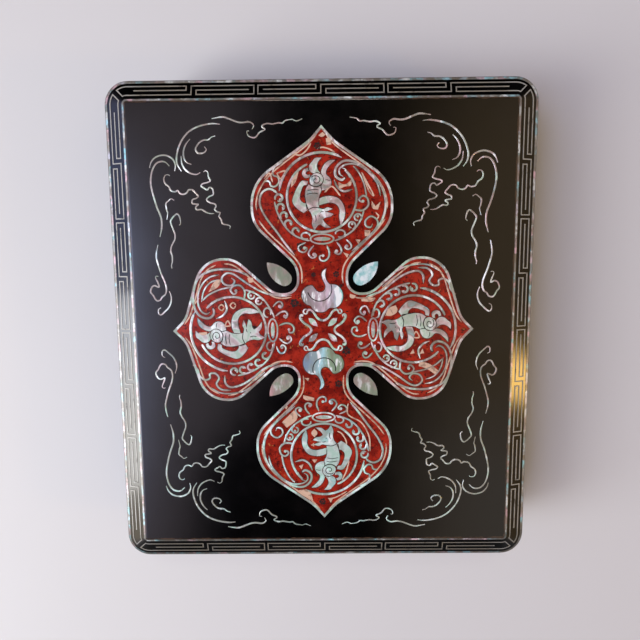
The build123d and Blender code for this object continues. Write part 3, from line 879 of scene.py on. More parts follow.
# A beast, upright in its roundel and facing left, as eight plates that meet along engraved lines
BEAST_PLATES = {
    "heads": [(3.8, 16.8), (5.0, 13.4), (4.7, 10.8), (5.4, 8.2), (6.7, 6.4), (4.2, 5.4), (1.2, 5.7),
              (-0.8, 6.1), (-2.6, 5.3), (-5.4, 6.0), (-3.2, 6.9), (-1.2, 7.4), (-3.2, 7.8),
              (-5.8, 8.5), (-4.4, 9.8), (-1.8, 10.3), (-0.4, 11.2), (-1.4, 12.8), (-4.4, 15.3),
              (-1.2, 15.0), (0.8, 13.5), (2.3, 14.4)],
    "trunks": [(1.4, 5.3), (4.2, 5.0), (6.7, 6.0), (7.8, 3.0), (8.3, -0.6), (7.9, -3.8), (6.5, -6.1),
               (4.9, -5.1), (2.4, -4.7), (0.4, -5.4), (0.2, -3.0), (1.3, -0.6), (1.7, 2.2)],
    "forelegs": [(7.1, 6.4), (9.2, 7.9), (12.0, 6.0), (14.7, 2.4), (13.7, -1.6), (11.9, -5.2), (9.8, -7.8),
                 (6.9, -7.6), (7.4, -6.0), (9.0, -5.6), (10.2, -3.4), (11.0, -0.4), (10.8, 1.4), (9.2, 3.0),
                 (8.1, 3.2)],
    "near_legs": [(0.6, -11.5), (2.4, -12.0), (4.2, -11.5), (6.0, -13.0), (6.0, -15.4), (4.4, -17.4),
                  (3.2, -18.8), (0.0, -19.0), (1.4, -17.4), (2.3, -15.4), (2.0, -13.4)],
    "far_legs": [(-0.2, -3.2), (-2.2, -3.6), (-4.2, -5.0), (-4.8, -7.0), (-4.0, -9.2), (-2.2, -11.0),
                 (-2.4, -13.0), (-4.0, -15.2), (-6.8, -17.8), (-4.0, -17.6), (-1.8, -16.2), (-0.2, -13.6),
                 (0.2, -11.6), (-0.8, -9.8), (-1.1, -8.4), (-0.7, -6.8), (0.1, -5.6)],
    "haunches": [(0.0, -6.6), (1.4, -5.5), (3.4, -5.2), (5.2, -5.9), (6.1, -7.4), (5.8, -9.1), (4.6, -10.7),
                 (2.8, -11.5), (1.0, -11.2), (-0.4, -9.9), (-0.7, -8.2)],
    "tails": [(5.9, -9.6), (8.2, -9.2), (9.6, -10.9), (9.0, -13.2), (7.0, -14.0), (6.4, -12.8), (7.6, -12.3),
              (8.0, -11.3), (7.1, -10.7), (5.7, -10.9)],
    "manes": [(1.4, 4.2), (-1.4, 3.4), (-4.2, 2.9), (-7.4, 3.9), (-8.9, 6.6), (-8.7, 9.8), (-9.4, 14.4),
              (-10.9, 11.6), (-11.6, 8.4), (-11.0, 4.6), (-8.4, 1.0), (-4.2, -0.3), (-0.8, 0.1), (1.2, 0.9)],
}

# Lines engraved in a beast: the joints of its plates, its eye, mouth, neck, ribs and knees
BEAST_LINES = [
    (0.36, [(7.2, 6.5), (4.2, 5.2), (1.2, 5.5), (-0.9, 5.9)]),
    (0.36, [(-0.6, -7.0), (0.2, -6.0), (1.4, -5.3), (3.4, -5.0), (5.6, -5.8)]),
    (0.34, [(5.4, -9.4), (3.6, -10.3), (1.5, -9.8), (0.8, -8.2), (1.8, -6.8), (3.5, -6.9), (4.0, -8.2),
            (3.0, -8.9), (2.4, -8.2)]),
    (0.36, [(7.4, 6.8), (8.0, 3.0), (8.6, -0.6)]),
    (0.34, [(-0.3, -3.2), (0.4, -4.6), (0.1, -5.7)]),
    (0.60, [(0.5, 9.2), (1.2, 9.5), (1.9, 9.2)]),
    (0.34, [(-1.2, 7.4), (0.2, 7.4), (1.2, 8.0)]),
    (0.34, [(3.2, 12.8), (3.0, 10.6), (3.6, 8.6)]),
    (0.30, [(1.4, -1.2), (4.0, -1.8), (7.8, -1.2)]),
    (0.30, [(1.0, -3.2), (3.8, -3.6), (7.4, -3.0)]),
    (0.30, [(-4.6, -7.6), (-2.6, -8.2), (-1.4, -8.0)]),
]

# The ring of a roundel, the arc outside it, and the boss at the neck: an oval rim round a pill
RING_WIDTH = 0.78
RING = arc(17.3, -66, 228)
OUTER_ARC_WIDTH = 0.85
OUTER_ARC = arc(21.4, 242, 352)
BOSS_MIDDLE = (0, 20.9)
BOSS_EDGE = arc(1.0, 0, 352, BOSS_MIDDLE, wide=6.3, high=2.85)
BOSS_HOLE = arc(1.0, 0, 352, BOSS_MIDDLE, wide=5.4, high=2.05)
BOSS_PILL = arc(1.0, 0, 352, BOSS_MIDDLE, wide=4.2, high=1.0)

# Scrolls of the front and back lobes, then those of the side lobes, each line with its width
BROWS = [(0.68, [(-15.5, -3.5), (-11.2, -2.4), (-7.8, -4.6), (-6.2, -8.2)])]
LONG_SCROLLS = {
    "lobe_wings": [
        (0.92, [(-13, 30.5), (-20.5, 23), (-27.5, 16), (-31.2, 9), (-31.8, 2), (-29.8, -4.6), (-25, -10.8),
                (-18.6, -15.8), (-12, -17.4), (-7.6, -14.6), (-7, -10.4), (-10, -8.2), (-12.4, -10.2)]),
        (0.60, [(-29.4, -0.1), (-27.5, -6.5), (-21.8, -12.9), (-16.7, -15.6), (-11.8, -15.4), (-9, -13.4),
                (-9.2, -10.9), (-10.8, -9.8)]),
        (0.44, [(-14, -9), (-12, -13), (-10, -14)]),
    ],
    "lobe_brows": BROWS,
    "neck_lines": [
        (0.64, [(-15, 27), (-22, 21), (-26, 17.2), (-28, 14), (-27.3, 11.3), (-24.5, 10), (-22, 12),
                (-22.3, 14.6), (-24.5, 15.2), (-25.4, 13.6)]),
        (0.76, [(14, 29), (18.5, 23.5), (23.5, 16.5), (28, 10.5), (30.8, 5), (31.2, 1), (29.8, -2.5),
                (26.5, -4.2), (23.3, -3), (21.8, -0.8)]),
        (0.60, [(29.5, -6.8), (27.8, -8), (26, -7.6), (25.2, -5.6), (23.2, -5.4), (21.4, -7.5), (22, -9.8),
                (24.2, -10.8), (24, -14), (21.3, -16.2), (18.2, -17.2)]),
    ],
}
SIDE_SCROLLS = {
    "lobe_wings": [
        (0.92, [(-27.5, 10.1), (-30.6, 3.6), (-31.6, -4.6), (-30.2, -11.8), (-27, -16.6), (-21, -19.2),
                (-13.6, -19.4), (-9, -17.6), (-6.9, -14.6), (-6.7, -11.6), (-8.6, -9.5), (-11, -9.5),
                (-12.4, -10.8)]),
        (0.60, [(-28.8, -6), (-27.6, -10.6), (-24.6, -14.2), (-19.6, -16.8), (-13.8, -17.1), (-10, -15.4),
                (-8.8, -13), (-9.8, -11.3)]),
        (0.50, [(-26.4, -6.4), (-24.6, -10.8), (-20.6, -14), (-15, -15.4)]),
    ],
    "lobe_brows": BROWS,
    "neck_lines": [
        (0.72, [(-18, 31), (-17.8, 24.5), (-19.5, 16.5), (-24, 8.5), (-28.6, 2), (-29.5, -1.9), (-27, -4.6),
                (-24, -3.2), (-23.4, 0.2), (-25.5, 1.8), (-27.2, 0.2)]),
        (0.76, [(17, 24.5), (20, 16.5), (24, 11.5), (27.5, 6.5), (29.6, 1.5), (29.8, -2.4), (27.4, -4.6),
                (23.6, -4.6)]),
        (0.72, [(31.6, -1.6), (31.2, -6.6), (28.2, -9.2), (25, -7.8), (22.6, -9.6), (22.8, -12.3),
                (25, -12.4), (26, -15), (23.8, -17.8), (20.4, -18.8), (17.8, -21.2)]),
        (0.50, [(28.8, 10.6), (32, 5.2), (33.4, -1.6), (32.8, -7.6), (30, -12.4)]),
        (0.50, [(22, 16.4), (26, 11.4), (29.4, 6.4)]),
    ],
}
SCROLLS = {"front": LONG_SCROLLS, "right": SIDE_SCROLLS, "back": LONG_SCROLLS, "left": SIDE_SCROLLS}

# Curls that hang along the ring of a lobe, and those beyond its boss
FRINGE_LINES = [
    (0.60, [(-6.2, 21.8), (-9.4, 20.6), (-12.4, 18.9), (-15.4, 16.8), (-18.2, 13.6), (-20, 10), (-21, 6.8)]),
    (0.60, arc(1.0, 60, 372, (-9.2, 18.3), wide=2.3, high=1.7)),
    (0.62, curl((-15.0, 14.2), 1.9, 100, 0.95, 0.35)),
    (0.62, curl((-18.0, 10.4), 2.0, 120, 0.95, 0.35)),
    (0.68, [(-16.3, 6.4), (-20.4, 6.8), (-23.2, 4.4), (-22.8, 1.1), (-20.8, -0.2), (-18.9, 1.4),
            (-20.1, 2.9)]),
    (0.56, [(-22.3, -0.1), (-21.1, -6), (-18.6, -11.4), (-15.7, -14.8)]),
    (0.60, [(6.4, 21.8), (9.6, 21), (13.4, 19.4), (16.8, 16.8), (19.4, 13.6), (21.5, 9.8), (23, 6),
            (23.8, 2.2)]),
    (0.60, arc(1.0, 120, -192, (8.3, 19.3), wide=2.3, high=1.7)),
    (0.78, curl((13.2, 16.9), 2.0, 75, -0.78, 0.25)),
    (0.80, curl((16.9, 13.1), 2.05, 60, -0.78, 0.25)),
    (0.80, curl((19.1, 9.2), 2.05, 50, -0.78, 0.25)),
    (0.80, curl((20.6, 5.0), 2.05, 35, -0.78, 0.25)),
    (0.74, curl((21.4, 0.5), 2.2, 20, -0.9, 0.3)),
]
NECK_CURLS = [
    (0.60, [(-2.5, 24.2), (-3.7, 27.4), (-3.2, 30.3), (-1.2, 32), (1, 31.5), (1.4, 29.6), (-0.2, 29)]),
    (0.60, [(4.2, 24.2), (6.4, 26.9), (6.6, 28.8), (4.9, 30.3), (3.2, 29.3), (3.7, 28)]),
    (0.60, [(-7.4, 22.5), (-9.3, 24.9), (-9.8, 27.4), (-8.3, 28.7), (-6.3, 27.8), (-7, 26.6)]),
    (0.56, [(-12.2, 21.2), (-14.5, 23.4), (-14.7, 25.4), (-13, 26.3), (-11.5, 25.3), (-12.2, 23.9)]),
    (0.56, [(8.3, 22.7), (11.8, 24.4), (11.5, 26.6), (9.3, 27.4), (7.8, 25.9), (8.8, 24.7)]),
]

# Round heads in which the curls end, by their middles and sizes
CURL_HEADS = [
    ((-0.4, 29.3), 0.7), ((4.1, 28.7), 0.95), ((-7.2, 27.2), 0.9), ((-12.4, 24.7), 0.9), ((9.0, 25.4), 0.8),
    ((12.1, 16.3), 0.7), ((15.7, 12.9), 0.7), ((17.9, 9.3), 0.7), ((19.4, 5.3), 0.7), ((20.8, 1.2), 0.7),
    ((-15.2, 13.6), 0.6), ((-18.0, 9.8), 0.6), ((-20.6, 2.4), 0.75),
]

# Middle of the lid: the back flame, which is the front one when it is turned half round, then the scrolls
# and their curls, and one petal
MIDDLE_WIDTH = 0.76
MIDDLE_CURL_WIDTH = 0.50
FLAME_BACK = [
    (2, 31.5), (0.2, 30.2), (-0.4, 28.6), (-0.1, 26.8), (0.6, 25), (1.5, 22.6), (0.9, 20.4), (-0.9, 19.4),
    (-2.9, 20), (-4.2, 21.6), (-5.4, 22.9), (-8, 22.3), (-10, 20.4), (-10.7, 17.6), (-9.6, 14.6),
    (-8.2, 13.3), (-6.3, 12.6), (-4.6, 10.4), (-1.7, 9.2), (1.2, 9.6), (3.4, 11.3), (6.6, 11.5),
    (9.1, 13.4), (10.3, 16.4), (10.1, 19.4), (8.6, 21.9), (6.4, 23.2), (3.6, 23.6), (1.9, 25.7),
    (1.3, 28.6)]
MIDDLE_SCROLLS = [
    [(-8.4, 8.9), (-7.2, 10.6), (-5, 9.6), (-2.6, 6.2), (0, 5.1), (2.6, 6.2), (5, 9.6), (7.2, 10.6),
     (8.4, 8.9)],
    [(-10, 8), (-11.6, 6.6), (-9.8, 3.9), (-6.9, 1.9), (-5.8, 0), (-6.9, -1.9), (-9.8, -3.9), (-11.6, -6.6),
     (-10, -8)],
]
MIDDLE_CURLS = [
    curl((8.7, 9.4), 1.4, 120, -1.0), curl((-8.7, 9.4), 1.4, 60, 1.0),
    curl((10.9, 7.2), 1.3, 250, 0.9), curl((-10.9, 7.2), 1.3, 290, -0.9),
]
PETAL = [(7.4, 6.2), (5, 5.8), (3.4, 4), (2.6, 1.8), (5, 2.4), (6.8, 4)]

# Cream filling, in the drawing of the whole lid
CREAM_PLATES = [
    [(-22, -49), (-15.5, -42.5), (-13.8, -46.5), (-19.5, -52)],
    [(-15, -87), (-11, -86.3), (-8, -87.3), (-6, -92.5), (-11, -90)],
    [(-5, -52.6), (-3.4, -55), (-5, -57.4), (-6.6, -55)],
    [(-5.2, -60.4), (-5.2, -62.4), (-7, -61.6)],
    [(-3.6, -69.5), (-5, -71.6), (-6.4, -69.6)],
    [(-11, -72), (-12, -75), (-13.4, -73)],
    [(2, -91), (4.6, -91.4), (3.4, -93.8)],
    [(-1.4, 97.0), (0.6, 98.6), (2.2, 97.4), (0.4, 96.2)],
    [(2.2, 95.6), (4.6, 95.8), (5.0, 92.6), (2.6, 92.4)],
    [(-14.4, 89.2), (-12.6, 90.0), (-12.0, 88.4), (-13.8, 87.8)],
    [(-3.0, -65.4), (-1.4, -64.6), (-0.8, -67.0), (-2.4, -67.6)],
    [(-10.6, -34.4), (-4.8, -36), (-5, -37.6), (-10.4, -36.4)],
    [(-21, -40), (-18.8, -40.4), (-19.6, -42.2)],
    [(32, 7), (34, 11), (37.4, 12.4), (38.4, 9.6), (35.6, 7.2)],
    [(45, -13), (47.4, -12.6), (46.6, -10.4)],
    [(50, -13), (52.4, -12.6), (51.4, -10.2)],
    [(50, -17), (55, -18.2), (60, -22), (58.4, -24), (53.4, -20.6), (49.6, -19.4)],
    [(19.5, 16.4), (27, 16.4), (26, 14.8), (20, 14.6)],
    [(14, 18.5), (17, 17.6), (16, 16.2), (14, 16.8)],
    [(-51.4, 26.4), (-54.4, 26), (-58.5, 20), (-53.6, 22.6)],
    [(-35.4, 27.2), (-38.4, 27), (-37.6, 24.6), (-35.6, 25)],
    [(-60, -0.6), (-64.2, -1), (-64, -2.4), (-60, -2.2)],
    [(8.4, 74.4), (11.6, 73.2), (15, 75.8), (14.4, 72.6), (11.8, 72.2), (8.6, 70.8)],
    [(-15.4, 72), (-13.2, 74.4), (-11.2, 80.4), (-14.6, 77)],
    [(25, 65), (27, 62.4), (29.4, 64.6), (28.2, 60.6), (25.4, 61.4)],
    [(21.4, 50.6), (24.4, 50.4), (24, 47.4), (21.6, 47.6)],
    [(16.8, 46), (19.4, 45.8), (18.4, 43.4)],
    [(10.6, 39.6), (13.4, 38.6), (12.6, 36.8)],
    [(-10, -25.2), (-7.4, -25.4), (-8, -27)],
]
CREAM_WIDTH = 0.5
CREAM_LINES = [
    [(13, -39), (13, -45), (20, -49.5), (24, -57), (24.5, -65)],
    [(3, 70.8), (1.5, 69.5), (5.2, 72.4), (9.5, 67.5)],
    [(20, 79), (26, 68), (23.5, 70), (20, 79)],
    [(-50.6, 12), (-52, 13.4), (-53.4, 12), (-52, 10.6), (-50.6, 12)],
    [(-44.6, 13), (-46, 14.4), (-47.4, 13), (-46, 11.6), (-44.6, 13)],
    [(-47.4, 2.4), (-50.6, 2.4), (-49, 5.2), (-47.4, 2.4)],
    [(46.4, -4.2), (49.6, -4.2), (48, -1.4), (46.4, -4.2)],
    [(-68, 9), (-66.6, 13), (-63.4, 17)],
    [(-14.1, 88.4), (-10.5, 87.8), (-7.3, 90.2), (-5.2, 93.4)],
    [(-2, 90.6), (0.6, 91.4), (4.2, 90.4), (6.8, 88.8)],
    [(-28.6, 76.4), (-26, 79.2), (-24.4, 74.6)],
    [(-22.4, 79), (-18, 80.2), (-20.4, 76.2), (-22.4, 79)],
    [(27, 59.4), (28.6, 57.6), (27.6, 56), (26.4, 57.2)],
    [(7, -54), (9.6, -55.4), (12, -60), (11, -64)],
    [(13.4, -70), (12, -76), (9.6, -81)],
    [(2, -91.4), (6, -90.6), (12, -87.4)],
]

# Quatrefoil: the thin line inside its outline, in the lid's back right quarter
INNER_LINE_WIDTH = 0.5
INNER_LINE = [
    [(2.2, 97.6), (6.4, 93), (11, 89.4), (18.4, 84), (24, 79.6), (28.4, 75), (31.4, 70), (32.8, 65),
     (32.8, 61)],
    [(31.8, 56), (28.4, 51.4), (24.2, 47.1), (18.5, 41.7), (13.9, 37.1), (11.2, 33), (10.3, 28.4),
     (10.6, 24)],
    [(16, 17), (20, 16.4), (25, 17.2), (30, 20.6), (35.6, 25.6), (40.6, 30), (45.7, 33.5), (50, 34.3)],
    [(54.3, 33.7), (59.1, 30.8), (62.3, 25.8), (64.4, 19.2), (66.6, 12.4), (68.6, 7.4), (71.4, 3.4)],
]

# Small black flowers on the red, by their middles and sizes. The rest are shares of a flower's size: how
# far out its petals stand, how large they are and by how much they differ, and its heart.
FLOWERS = [((-14.5, 14), 2.3), ((12, -11), 2.3), ((8, -28.5), 2.0), ((-2, 92), 1.9), ((-1, -93), 1.9),
           ((7, 28.6), 1.7), ((-4.6, 28.4), 1.3), ((-11, 43), 2.0), ((-6, 9.4), 0.9), ((9.2, 22.6), 1.0)]
PETALS = 6
PETAL_PLACE = 0.66
PETAL_REACH = 0.32
PETAL_CHANGE = 0.06
HEART_SHARE = 0.22

# Arcs engraved in the back flame and in the front one
FLAME_LINE_WIDTH = 0.42
FLAME_LINES = [arc(6.2, 190, 385, (-1.5, 21.1)), arc(5.9, -15, 205, (0.5, -20.6))]

# The stage: the floor's reach, the room's colour where it is dark, and the camera that a fit to the lid in
# the photograph gives, with its pitch, yaw and roll in degrees
FLOOR_REACH = 2.5
ROOM_DARK = (0.001, 0.001, 0.001)
SENSOR_WIDTH = 36.0
CAMERA_PLACE = (0.00075, 0.03558, 0.31092)
CAMERA_TURNS = (6.6547, -0.4863, 0.5404)


# Settings that a user would change

class LacquerColours(bpy.types.PropertyGroup):
    """Colours and gloss of the lacquer and the shell."""

    def tone(label, colour, text):
        return bpy.props.FloatVectorProperty(
            name=label, description=text, subtype="COLOR", size=3, min=0.0, max=1.0, default=colour)

    black: tone("Black", (0.0005, 0.0005, 0.0006), "Black lacquer")
    undercoat: tone("Undercoat", (0.060, 0.034, 0.020), "Brown undercoat where the black is rubbed through")
    red: tone("Red", (0.350, 0.022, 0.010), "Vermilion lacquer where it is brightest")
    dark_red: tone("Dark red", (0.150, 0.008, 0.005), "Vermilion lacquer where it has darkened")
    deep_red: tone("Deep red", (0.060, 0.007, 0.006), "Darkest mottling of the red")
    ochre: tone("Ochre", (0.420, 0.150, 0.040), "Flecks in the red")
    shell_white: tone("Shell white", (0.84, 0.87, 0.84), "Silver white of the shell")
    shell_green: tone("Shell green", (0.42, 0.66, 0.50), "Pale green of the shell")
    shell_pink: tone("Shell pink", (0.70, 0.46, 0.50), "Pink of the shell")
    shell_blue: tone("Shell blue", (0.30, 0.64, 0.70), "Blue green of the shell")
    shell_grey: tone("Shell grey", (0.24, 0.23, 0.21), "Dull grey of the shell")
    shell_warm: tone("Shell warm", (0.48, 0.38, 0.31), "Warm tone of the shell towards the back")
    shell_mint: tone("Shell mint", (0.56, 0.90, 0.82), "Bright blue green of the shell towards the front")
    shell_dull: tone("Shell dull", (0.20, 0.165, 0.115), "Beige of the shell where it is dull")
    line: tone("Line", (0.24, 0.21, 0.16), "Beige of the fine lines")
    cream: tone("Cream", (0.66, 0.46, 0.33), "Cream filling")
    joint: tone("Joint", (0.075, 0.022, 0.012), "Brown lacquer in the joints beside the shell")
    engraving: tone("Engraving", (0.026, 0.020, 0.018), "Black in the engraved lines and the flowers")
    gloss_roughness: bpy.props.FloatProperty(
        name="Gloss roughness", description="Roughness of the polished black lacquer",
        default=0.08, min=0.02, max=0.6, subtype="FACTOR")


class BoxSizes(bpy.types.PropertyGroup):
    """Sizes of the skins that the frame doesn't give."""

    def length(label, size, text):
        return bpy.props.FloatProperty(
            name=label, description=text, default=size, min=0.0, unit="LENGTH", precision=5)

    corner_radius: length("Corner radius", 12.0 * MM, "Radius of the box's upright corners")
    bevel_run: length("Bevel run", 11.0 * MM, "Width of the lid's bevel, seen from above")
    bevel_drop: length("Bevel drop", 3.3 * MM, "Fall of the lid's bevel")
    arris: length("Arris", 0.5 * MM, "Softening of the outer arrises")
    inner_arris: length("Inner arris", 0.25 * MM, "Softening of the arrises of the rim and the inside")


class StudioLight(bpy.types.PropertyGroup):
    """Lamps, floor and camera."""

    def power(label, watts, text):
        return bpy.props.FloatProperty(name=label, description=text, default=watts, min=0.0, unit="POWER")

    key: power("Key", 7.5, "Power of the lamp on the left")
    fill: power("Fill", 1.3, "Power of the lamp behind")
    spot: power("Warm spot", 0.8, "Power of the small warm lamp on the right")
    floor: bpy.props.FloatVectorProperty(
        name="Floor", description="Colour of the floor", subtype="COLOR", size=3, min=0.0, max=1.0,
        default=(0.62, 0.61, 0.60))
    focal: bpy.props.FloatProperty(
        name="Focal length", description="Focal length in millimetres, on a sensor 36 mm wide",
        default=28.69, min=10.0)


# Operators

class BOX_OT_body(bpy.types.Operator):
    """Makes the skin of the box below the seam, with its foot, bottom and the rim that locates the lid"""
    bl_idname = "lacquer_box.body"
    bl_label = "Body"

    def execute(self, context):
        sizes = context.scene.box_sizes
        soft = sizes.inner_arris
        top = SEAM - COAT_SINK
        profile = [
            (SKIN_MIDDLE, FLOOR_TOP, 0), (RIM_INSET, FLOOR_TOP, soft), (RIM_INSET, RIM_TOP, soft),
            (WALL_INSET, RIM_TOP, soft), (WALL_INSET, top, soft), (0, top, soft),
            (0, FOOT_TOP, sizes.arris), (FOOT_INSET, FOOT_TOP, soft), (FOOT_INSET, 0, soft),
            (FOOT_INNER, 0, soft), (FOOT_INNER, FLOOR_LOW, soft), (SKIN_MIDDLE, FLOOR_LOW, 0),
        ]
        piece = skin("body_skin", profile, sizes.corner_radius, inner_arrises=4)
        nodes = [f"{part}_{side}" for part in ("body_wall", "foot", "rim") for side in LOBES]
        finish(piece, "box", "black_lacquer", "bottom_board", *nodes)
        return {"FINISHED"}


class BOX_OT_tray(bpy.types.Operator):
    """Gives the tray and its rests their satin lacquer"""
    bl_idname = "lacquer_box.tray"
    bl_label = "Tray"

    def execute(self, context):
        walls = [f"tray_wall_{side}" for side in LOBES]
        for node in walls + ["tray_board", "tray_rest_left", "tray_rest_right"]:
            paint_node(node, material_of(satin_black))
        return {"FINISHED"}


class BOX_OT_lid(bpy.types.Operator):
    """Makes the skin of the lid, bevelled all round and hollow below"""
    bl_idname = "lacquer_box.lid"
    bl_label = "Lid"

    def execute(self, context):
        sizes = context.scene.box_sizes
        soft = sizes.inner_arris
        top = LID_TOP - COAT_SINK
        profile = [
            (SKIN_MIDDLE, CAVITY_TOP, 0), (LID_WALL_INSET, CAVITY_TOP, soft), (LID_WALL_INSET, SEAM, soft),
            (0, SEAM, soft), (0, top - sizes.bevel_drop, sizes.arris), (sizes.bevel_run, top, sizes.arris),
            (SKIN_MIDDLE, top, 0),
        ]
        piece = skin("lid_skin", profile, sizes.corner_radius, inner_arrises=2)
        finish(piece, "lid", "black_lacquer", "lid_board", *[f"lid_wall_{side}" for side in LOBES])
        return {"FINISHED"}


class BOX_OT_border(bpy.types.Operator):
    """Gives the lines and the key fret of the border their shell"""
    bl_idname = "lacquer_box.border"
    bl_label = "Border"

    def execute(self, context):
        for side in LOBES:
            paint_node(f"fret_{side}", material_of(fret_shell))
        for node in ("border_edge_line", "border_arris_line"):
            paint_node(node, material_of(border_shell))
        return {"FINISHED"}


class BOX_OT_quatrefoil(bpy.types.Operator):
    """Gives the red ground, its outline and the four drops their finishes, and adds the thin inner line"""
    bl_idname = "lacquer_box.quatrefoil"
    bl_label = "Quatrefoil"

    def execute(self, context):
        paint_node("quatrefoil_field", material_of(vermilion))
        paint_node("quatrefoil_outline", material_of(cut_shell))
        paint_node("leaf_drops", material_of(drop_shell))
        lines = [(INNER_LINE_WIDTH, line) for points in INNER_LINE for line in four_corners(points)]
        piece = strands("quatrefoil_inner_line", lines, material_of(cream_shell), taper=2.0)
        finish(piece, "lid", "shell")
        return {"FINISHED"}


class BOX_OT_clouds(bpy.types.Operator):
    """Makes the trailing cloud strands round the four corners"""
    bl_idname = "lacquer_box.clouds"
    bl_label = "Corner clouds"

    def execute(self, context):
        lines = [(CLOUD_SLIMNESS * width, line)
                 for width, points in CLOUD_LINES for line in four_corners(points, CLOUD_SHIFTS)]
        lines += [(CLOUD_TIP_WIDTH, line) for line in four_corners(CLOUD_TIP, CLOUD_SHIFTS)[1:]]
        piece = strands("corner_clouds", lines, material_of(cut_shell), taper=6.0, tip=0.5)
        corners = [f"corner_cloud_{end}_{side}" for end in ("front", "back") for side in ("left", "right")]
        finish(piece, "lid", "shell", *corners)
        return {"FINISHED"}


class BOX_OT_roundels(bpy.types.Operator):
    """Makes the rings, the arcs outside them and the oval bosses of the four lobes"""
    bl_idname = "lacquer_box.roundels"
    bl_label = "Roundels"

    def execute(self, context):
        shell = material_of(cut_shell)
        rings = [(RING_WIDTH, line) for line in in_each_lobe(RING)]
        finish(strands("rings", rings, shell, taper=1.5, tip=0.7), "lid", "shell", "roundel_rings")
        arcs = [(OUTER_ARC_WIDTH, line) for line in in_each_lobe(OUTER_ARC)]
        finish(strands("outer_arcs", arcs, shell), "lid", "shell", "roundel_outer_arcs")
        joints("roundel_joints", rings + arcs)
        rims = list(zip(in_each_lobe(BOSS_EDGE), in_each_lobe(BOSS_HOLE)))
        finish(plates("boss_ovals", rims, shell), "lid", "shell", "boss_rims")
        pills = [[loop] for loop in in_each_lobe(BOSS_PILL)]
        finish(plates("boss_hearts", pills, shell), "lid", "shell", "boss_pills")
        return {"FINISHED"}


class BOX_OT_scrolls(bpy.types.Operator):
    """Makes the scrolls, fringes and curls of the four lobes"""
    bl_idname = "lacquer_box.scrolls"
    bl_label = "Scrolls"

    def execute(self, context):
        shell = material_of(cut_shell)
        for node in LONG_SCROLLS:
            lines = [(width, [in_lobe(lobe, point) for point in points])
                     for lobe in LOBES for width, points in SCROLLS[lobe][node]]
            finish(strands(node + "_cut", lines, shell), "lid", "shell", node)
            joints(node + "_joints", lines)
        fringes = lines_in_lobes(FRINGE_LINES)
        finish(strands("fringe_curls", fringes, shell, taper=1.2, tip=0.6), "lid", "shell")
        joints("fringe_joints", fringes)
        curls = lines_in_lobes(NECK_CURLS)
        finish(strands("neck_curls", curls, shell, taper=1.5, tip=0.5), "lid", "shell")
        joints("neck_curl_joints", curls)
        heads = [[loop] for middle, size in CURL_HEADS for loop in in_each_lobe(disc(size, middle))]
        finish(plates("curl_heads", heads, material_of(beast_shell)), "lid", "shell")
        return {"FINISHED"}


class BOX_OT_beasts(bpy.types.Operator):
    """Makes the beast of each roundel from cut plates, with its engraved lines"""
    bl_idname = "lacquer_box.beasts"
    bl_label = "Beasts"

    def execute(self, context):
        edges = []
        for plate, points in BEAST_PLATES.items():
            loops = in_each_lobe(smooth_outline(points))
            edges += [(EDGE_WIDTH, loop + loop[:1]) for loop in loops]
            piece = plates(f"cut_{plate}", [[loop] for loop in loops], material_of(beast_shell))
            finish(piece, "lid", "shell", f"beast_{plate}")
        joints("beast_joints", edges)
        black = material_of(engraving_black)
        engraved = strands("beast_engraving", lines_in_lobes(BEAST_LINES), black, taper=0.8,
                           top=ENGRAVED_TOP, spacing=0.5)
        finish(engraved, "lid", "black_lacquer")
        return {"FINISHED"}


class BOX_OT_middle(bpy.types.Operator):
    """Makes the flames, the crossed scrolls and the petals in the middle of the lid"""
    bl_idname = "lacquer_box.middle"
    bl_label = "Middle"

    def execute(self, context):
        shell = material_of(cut_shell)
        edges = []
        for name, turn in (("flame_back", 1), ("flame_front", -1)):
            outline = [in_middle((turn * x, turn * y)) for x, y in smooth_outline(FLAME_BACK)]
            edges.append((EDGE_WIDTH, outline + outline[:1]))
            piece = plates(name + "_cut", [[outline]], material_of(flame_shell))
            finish(piece, "lid", "shell", name)
        scrolls = [(MIDDLE_WIDTH, [in_middle((side * x, side * y)) for x, y in points])
                   for side in (1, -1) for points in MIDDLE_SCROLLS]
        curls = [(MIDDLE_CURL_WIDTH, [in_middle((x, side * y)) for x, y in points])
                 for side in (1, -1) for points in MIDDLE_CURLS]
        finish(strands("crossed_scrolls", scrolls, shell, taper=2.0), "lid", "shell", "middle_scrolls")
        joints("middle_joints", scrolls + curls + edges)
        finish(strands("scroll_curls", curls, shell, taper=1.5), "lid", "shell")
        outline = smooth_outline(PETAL)
        petals = [[[in_middle((side_x * x, side_y * y)) for x, y in outline]]
                  for side_x in (1, -1) for side_y in (1, -1)]
        finish(plates("petals", petals, material_of(beast_shell)), "lid", "shell", "middle_petals")
        lines = [(FLAME_LINE_WIDTH, [in_middle(point) for point in points]) for points in FLAME_LINES]
        black = material_of(engraving_black)
        engraved = strands("flame_engraving", lines, black, taper=1.0, top=ENGRAVED_TOP, spacing=0.5)
        finish(engraved, "lid", "black_lacquer")
        return {"FINISHED"}


class BOX_OT_fillings(bpy.types.Operator):
    """Makes the cream fillings and the small black flowers on the red ground"""
    bl_idname = "lacquer_box.fillings"
    bl_label = "Fillings"

    def execute(self, context):
        cream = material_of(cream_shell)
        fills = [[[drawn(point) for point in smooth_outline(points, corner=75)]] for points in CREAM_PLATES]
        finish(plates("cream_fillings", fills, cream, top=FILLING_TOP), "lid", "shell_line")
        lines = [(CREAM_WIDTH, [drawn(point) for point in points]) for points in CREAM_LINES]
        finish(strands("cream_lines", lines, cream, taper=1.0, top=FILLING_TOP), "lid", "shell_line")
        outlines = [loops for (x, y), size in FLOWERS for loops in flower(x, y, size)]
        flowers = plates("black_flowers", outlines, material_of(engraving_black), top=FILLING_TOP)
        finish(flowers, "lid", "black_lacquer")
        return {"FINISHED"}


